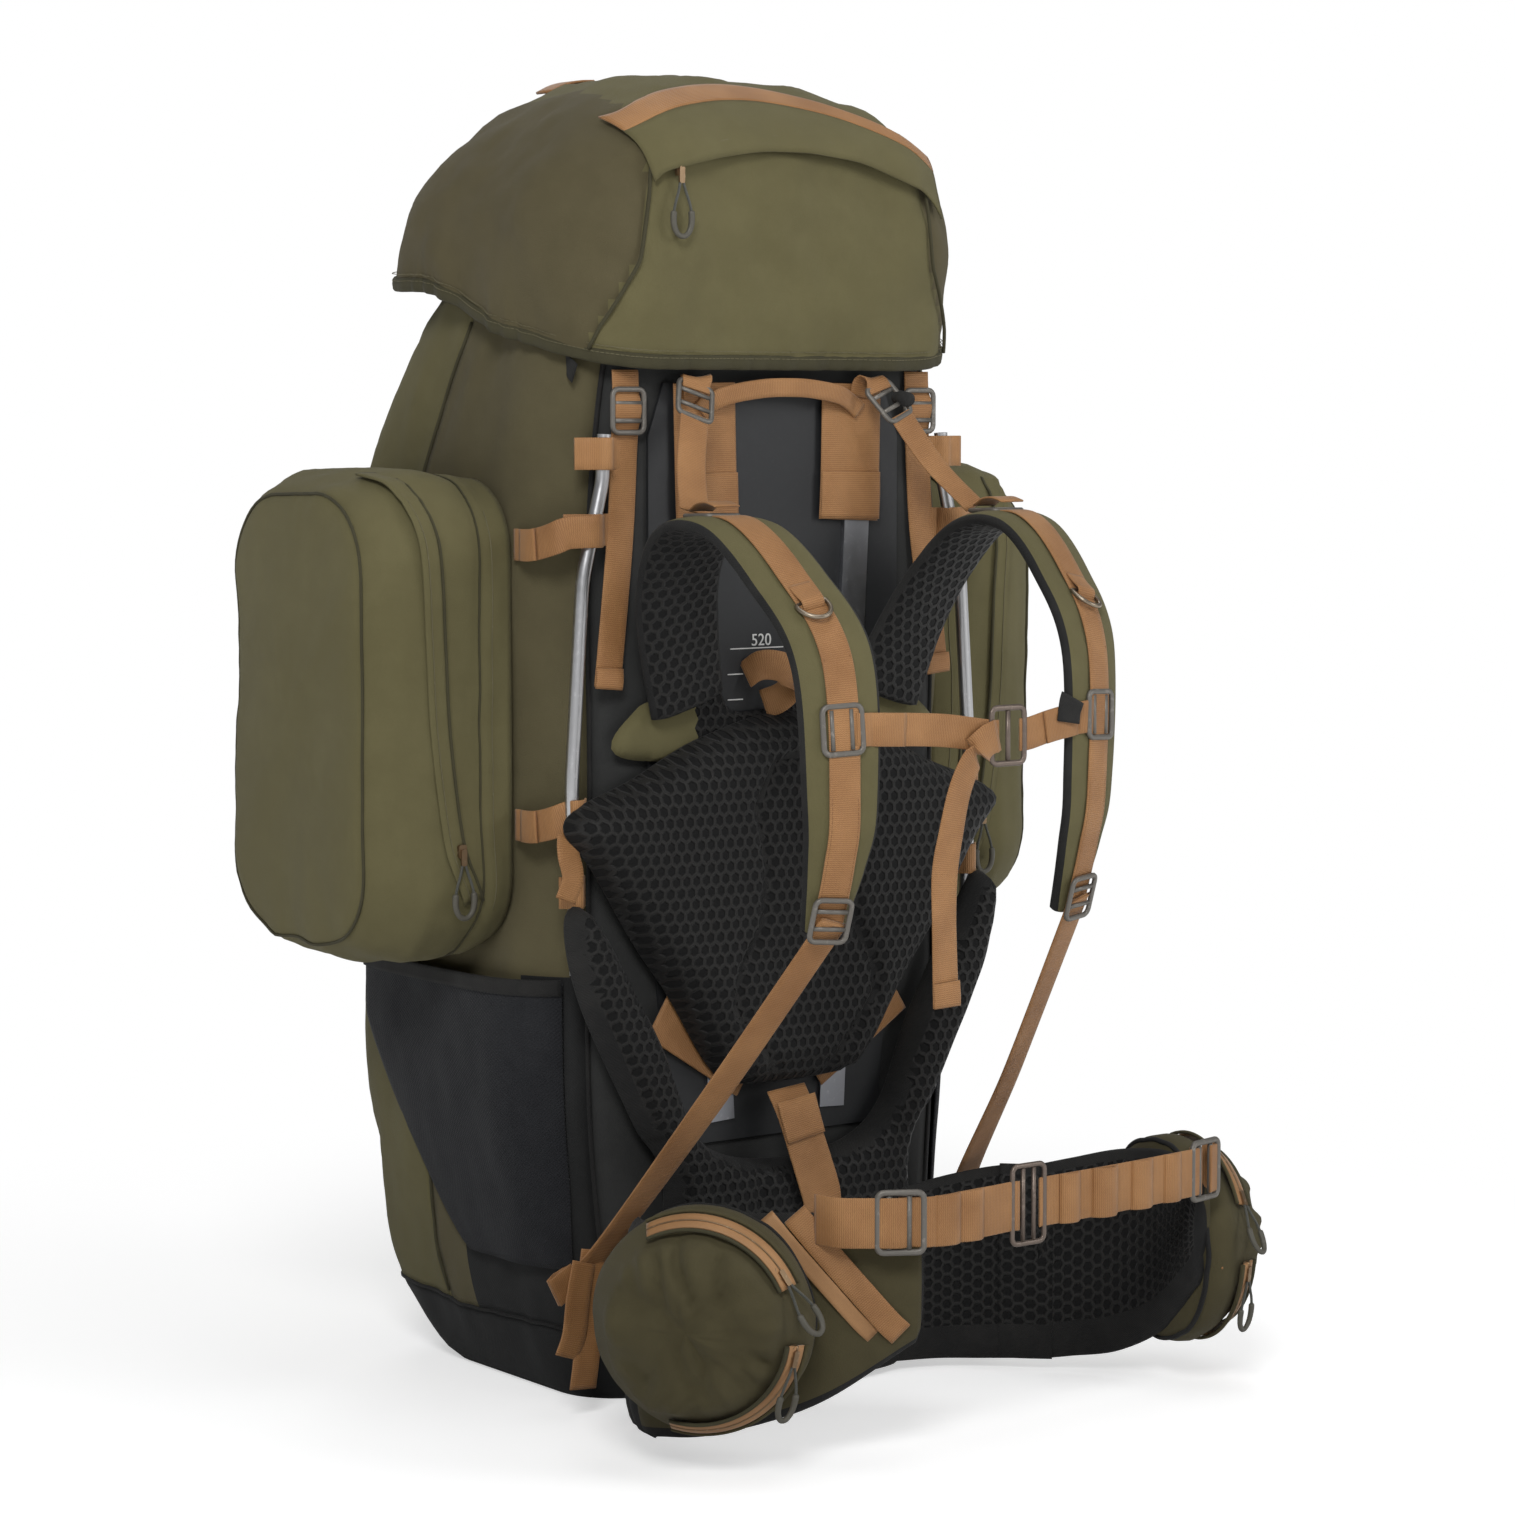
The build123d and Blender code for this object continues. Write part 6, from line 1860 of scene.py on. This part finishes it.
anchors = []
anchors.append(band([(-8, -172.5, 247), (-6, -184, 228), (-2, -190.6, 206), (6, -192.0, 182),
                    (14, -191.4, 160), (16, -190.4, 146)], (1, 0, 0.1), belt_width))
anchors.append(band([(-7, -185, 240), (-5, -188.4, 226), (-2, -192.4, 208)], (1, 0, 0.1), 38.5))
for side, sign in sides:
    anchors.append(band([(sign * 118, -153.4, 318), (sign * 74, -154, 290),
                        (sign * 30, -153.4, 262)], (0.54, 0, -0.84 * sign), 50))
    anchors.append(band([(sign * x, y, 100) for x, y in ((160, -138.5), (173, -148),
                        (186, -152.6), (202, -153))], across_z, 42))
    anchors.append(band([(sign * 184, -155.6, 134), (sign * 188, -156.2, 110),
                        (sign * 190, -155.2, 78), (sign * 193, -156.8, 48),
                        (sign * 195, -154.6, 24)], (1, 0, 0.1 * sign), web_width))
    anchors.append(band([(sign * 196, -158.4, 126), (sign * 203, -160.5, 100),
                        (sign * 206, -159, 70), (sign * 212, -157.2, 52)], (1, 0.1, 0.35 * sign),
                        24))
joined("anchor_webbing", anchors, "pack", "webbing", tan_webbing,
       stands_for=["belt_anchor_straps"])
tag_top = min((p for p in bag_grid.reshape(-1, 3) if p[0] < 0),
              key=lambda p: np.linalg.norm(p - arr((-192, -118, 826))))
strap("side_seam_tag", [tag_top + arr((1, 4, 4)), tag_top + arr((-2.4, -5, 0)),
                        tag_top + arr((-4, -15, -5))], (0.1, 0.3, 1),
      16, "pack", black_binding, "dark_fabric", thickness=1.0, step=3)

# ------------------------------------------------------------------ stitches


def make_stitch_tree():
    """Geometry nodes: short threads set end to end along a seam's edges."""
    made = bpy.data.node_groups.new("stitches", "GeometryNodeTree")
    for label, way, kind in (("Geometry", "INPUT", "Geometry"), ("Pitch", "INPUT", "Float"),
                             ("Length", "INPUT", "Float"), ("Radius", "INPUT", "Float"),
                             ("Thread", "INPUT", "Material"), ("Geometry", "OUTPUT", "Geometry")):
        made.interface.new_socket(label, in_out=way, socket_type=f"NodeSocket{kind}")
    start, end = new_node(made, "NodeGroupInput"), new_node(made, "NodeGroupOutput")
    curve = new_node(made, "GeometryNodeMeshToCurve")
    spaced = new_node(made, "GeometryNodeResampleCurve", {"mode": "LENGTH"})
    points = new_node(made, "GeometryNodeCurveToPoints", {"mode": "EVALUATED"})
    thread = new_node(made, "GeometryNodeMeshCylinder", Vertices=6)
    copies = new_node(made, "GeometryNodeInstanceOnPoints")
    real = new_node(made, "GeometryNodeRealizeInstances")
    paint = new_node(made, "GeometryNodeSetMaterial")
    wire(made, (start.outputs["Geometry"], curve.inputs["Mesh"]),
         (curve.outputs["Curve"], spaced.inputs["Curve"]),
         (start.outputs["Pitch"], spaced.inputs["Length"]),
         (spaced.outputs["Curve"], points.inputs["Curve"]),
         (start.outputs["Radius"], thread.inputs["Radius"]),
         (start.outputs["Length"], thread.inputs["Depth"]),
         (points.outputs["Points"], copies.inputs["Points"]),
         (thread.outputs["Mesh"], copies.inputs["Instance"]),
         (points.outputs["Rotation"], copies.inputs["Rotation"]),
         (copies.outputs["Instances"], real.inputs["Geometry"]),
         (real.outputs["Geometry"], paint.inputs["Geometry"]),
         (start.outputs["Thread"], paint.inputs["Material"]),
         (paint.outputs["Geometry"], end.inputs["Geometry"]))
    return made


stitch_tree = make_stitch_tree()


def stitches(name, lines, body, thread, pitch=3.4, length=2.5, radius=0.42):
    """Rows of stitches along lines of points."""
    verts, edges, base = [], [], 0
    for line in lines:
        line = arr(line)
        verts += [tuple(p * MM) for p in line]
        edges += [(base + i, base + i + 1) for i in range(len(line) - 1)]
        base += len(line)
    mesh = bpy.data.meshes.new(name)
    mesh.from_pydata(verts, edges, [])
    obj = bpy.data.objects.new(name, mesh)
    scene.collection.objects.link(obj)
    sewn = obj.modifiers.new("sewn", "NODES")
    sewn.node_group = stitch_tree
    values = {"Pitch": pitch * MM, "Length": length * MM, "Radius": radius * MM, "Thread": thread}
    for item in stitch_tree.interface.items_tree:
        if item.in_out == "INPUT" and item.name in values:
            sewn[item.identifier] = values[item.name]
    bake_down(obj)
    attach(obj, body)
    return obj


rows = []
for lift in (5.5, 11.0):
    ring = hem_ring + outs * 2.7 + arr((0, 0, 1)) * lift
    rows.append(np.vstack([ring, ring[:1]]))
stitches("lid_hem_stitches", rows, "lid", thread_olive, 4.0, 3.0, 0.38)
pad_width_way = arr([unit(a - w * (a @ w)) for a, w in zip(pad_across, pad_way)])
for side, sign in sides:
    rows = [smooth_line((raised(9.3, 1) + pad_width_way * edge)[6:] * (sign, 1, 1), 4)
            for edge in (-10.6, 10.6)]
    stitches(f"strap_webbing_stitches_{side}", rows, f"shoulder_{side}", thread_tan,
             3.4, 2.4, 0.36)
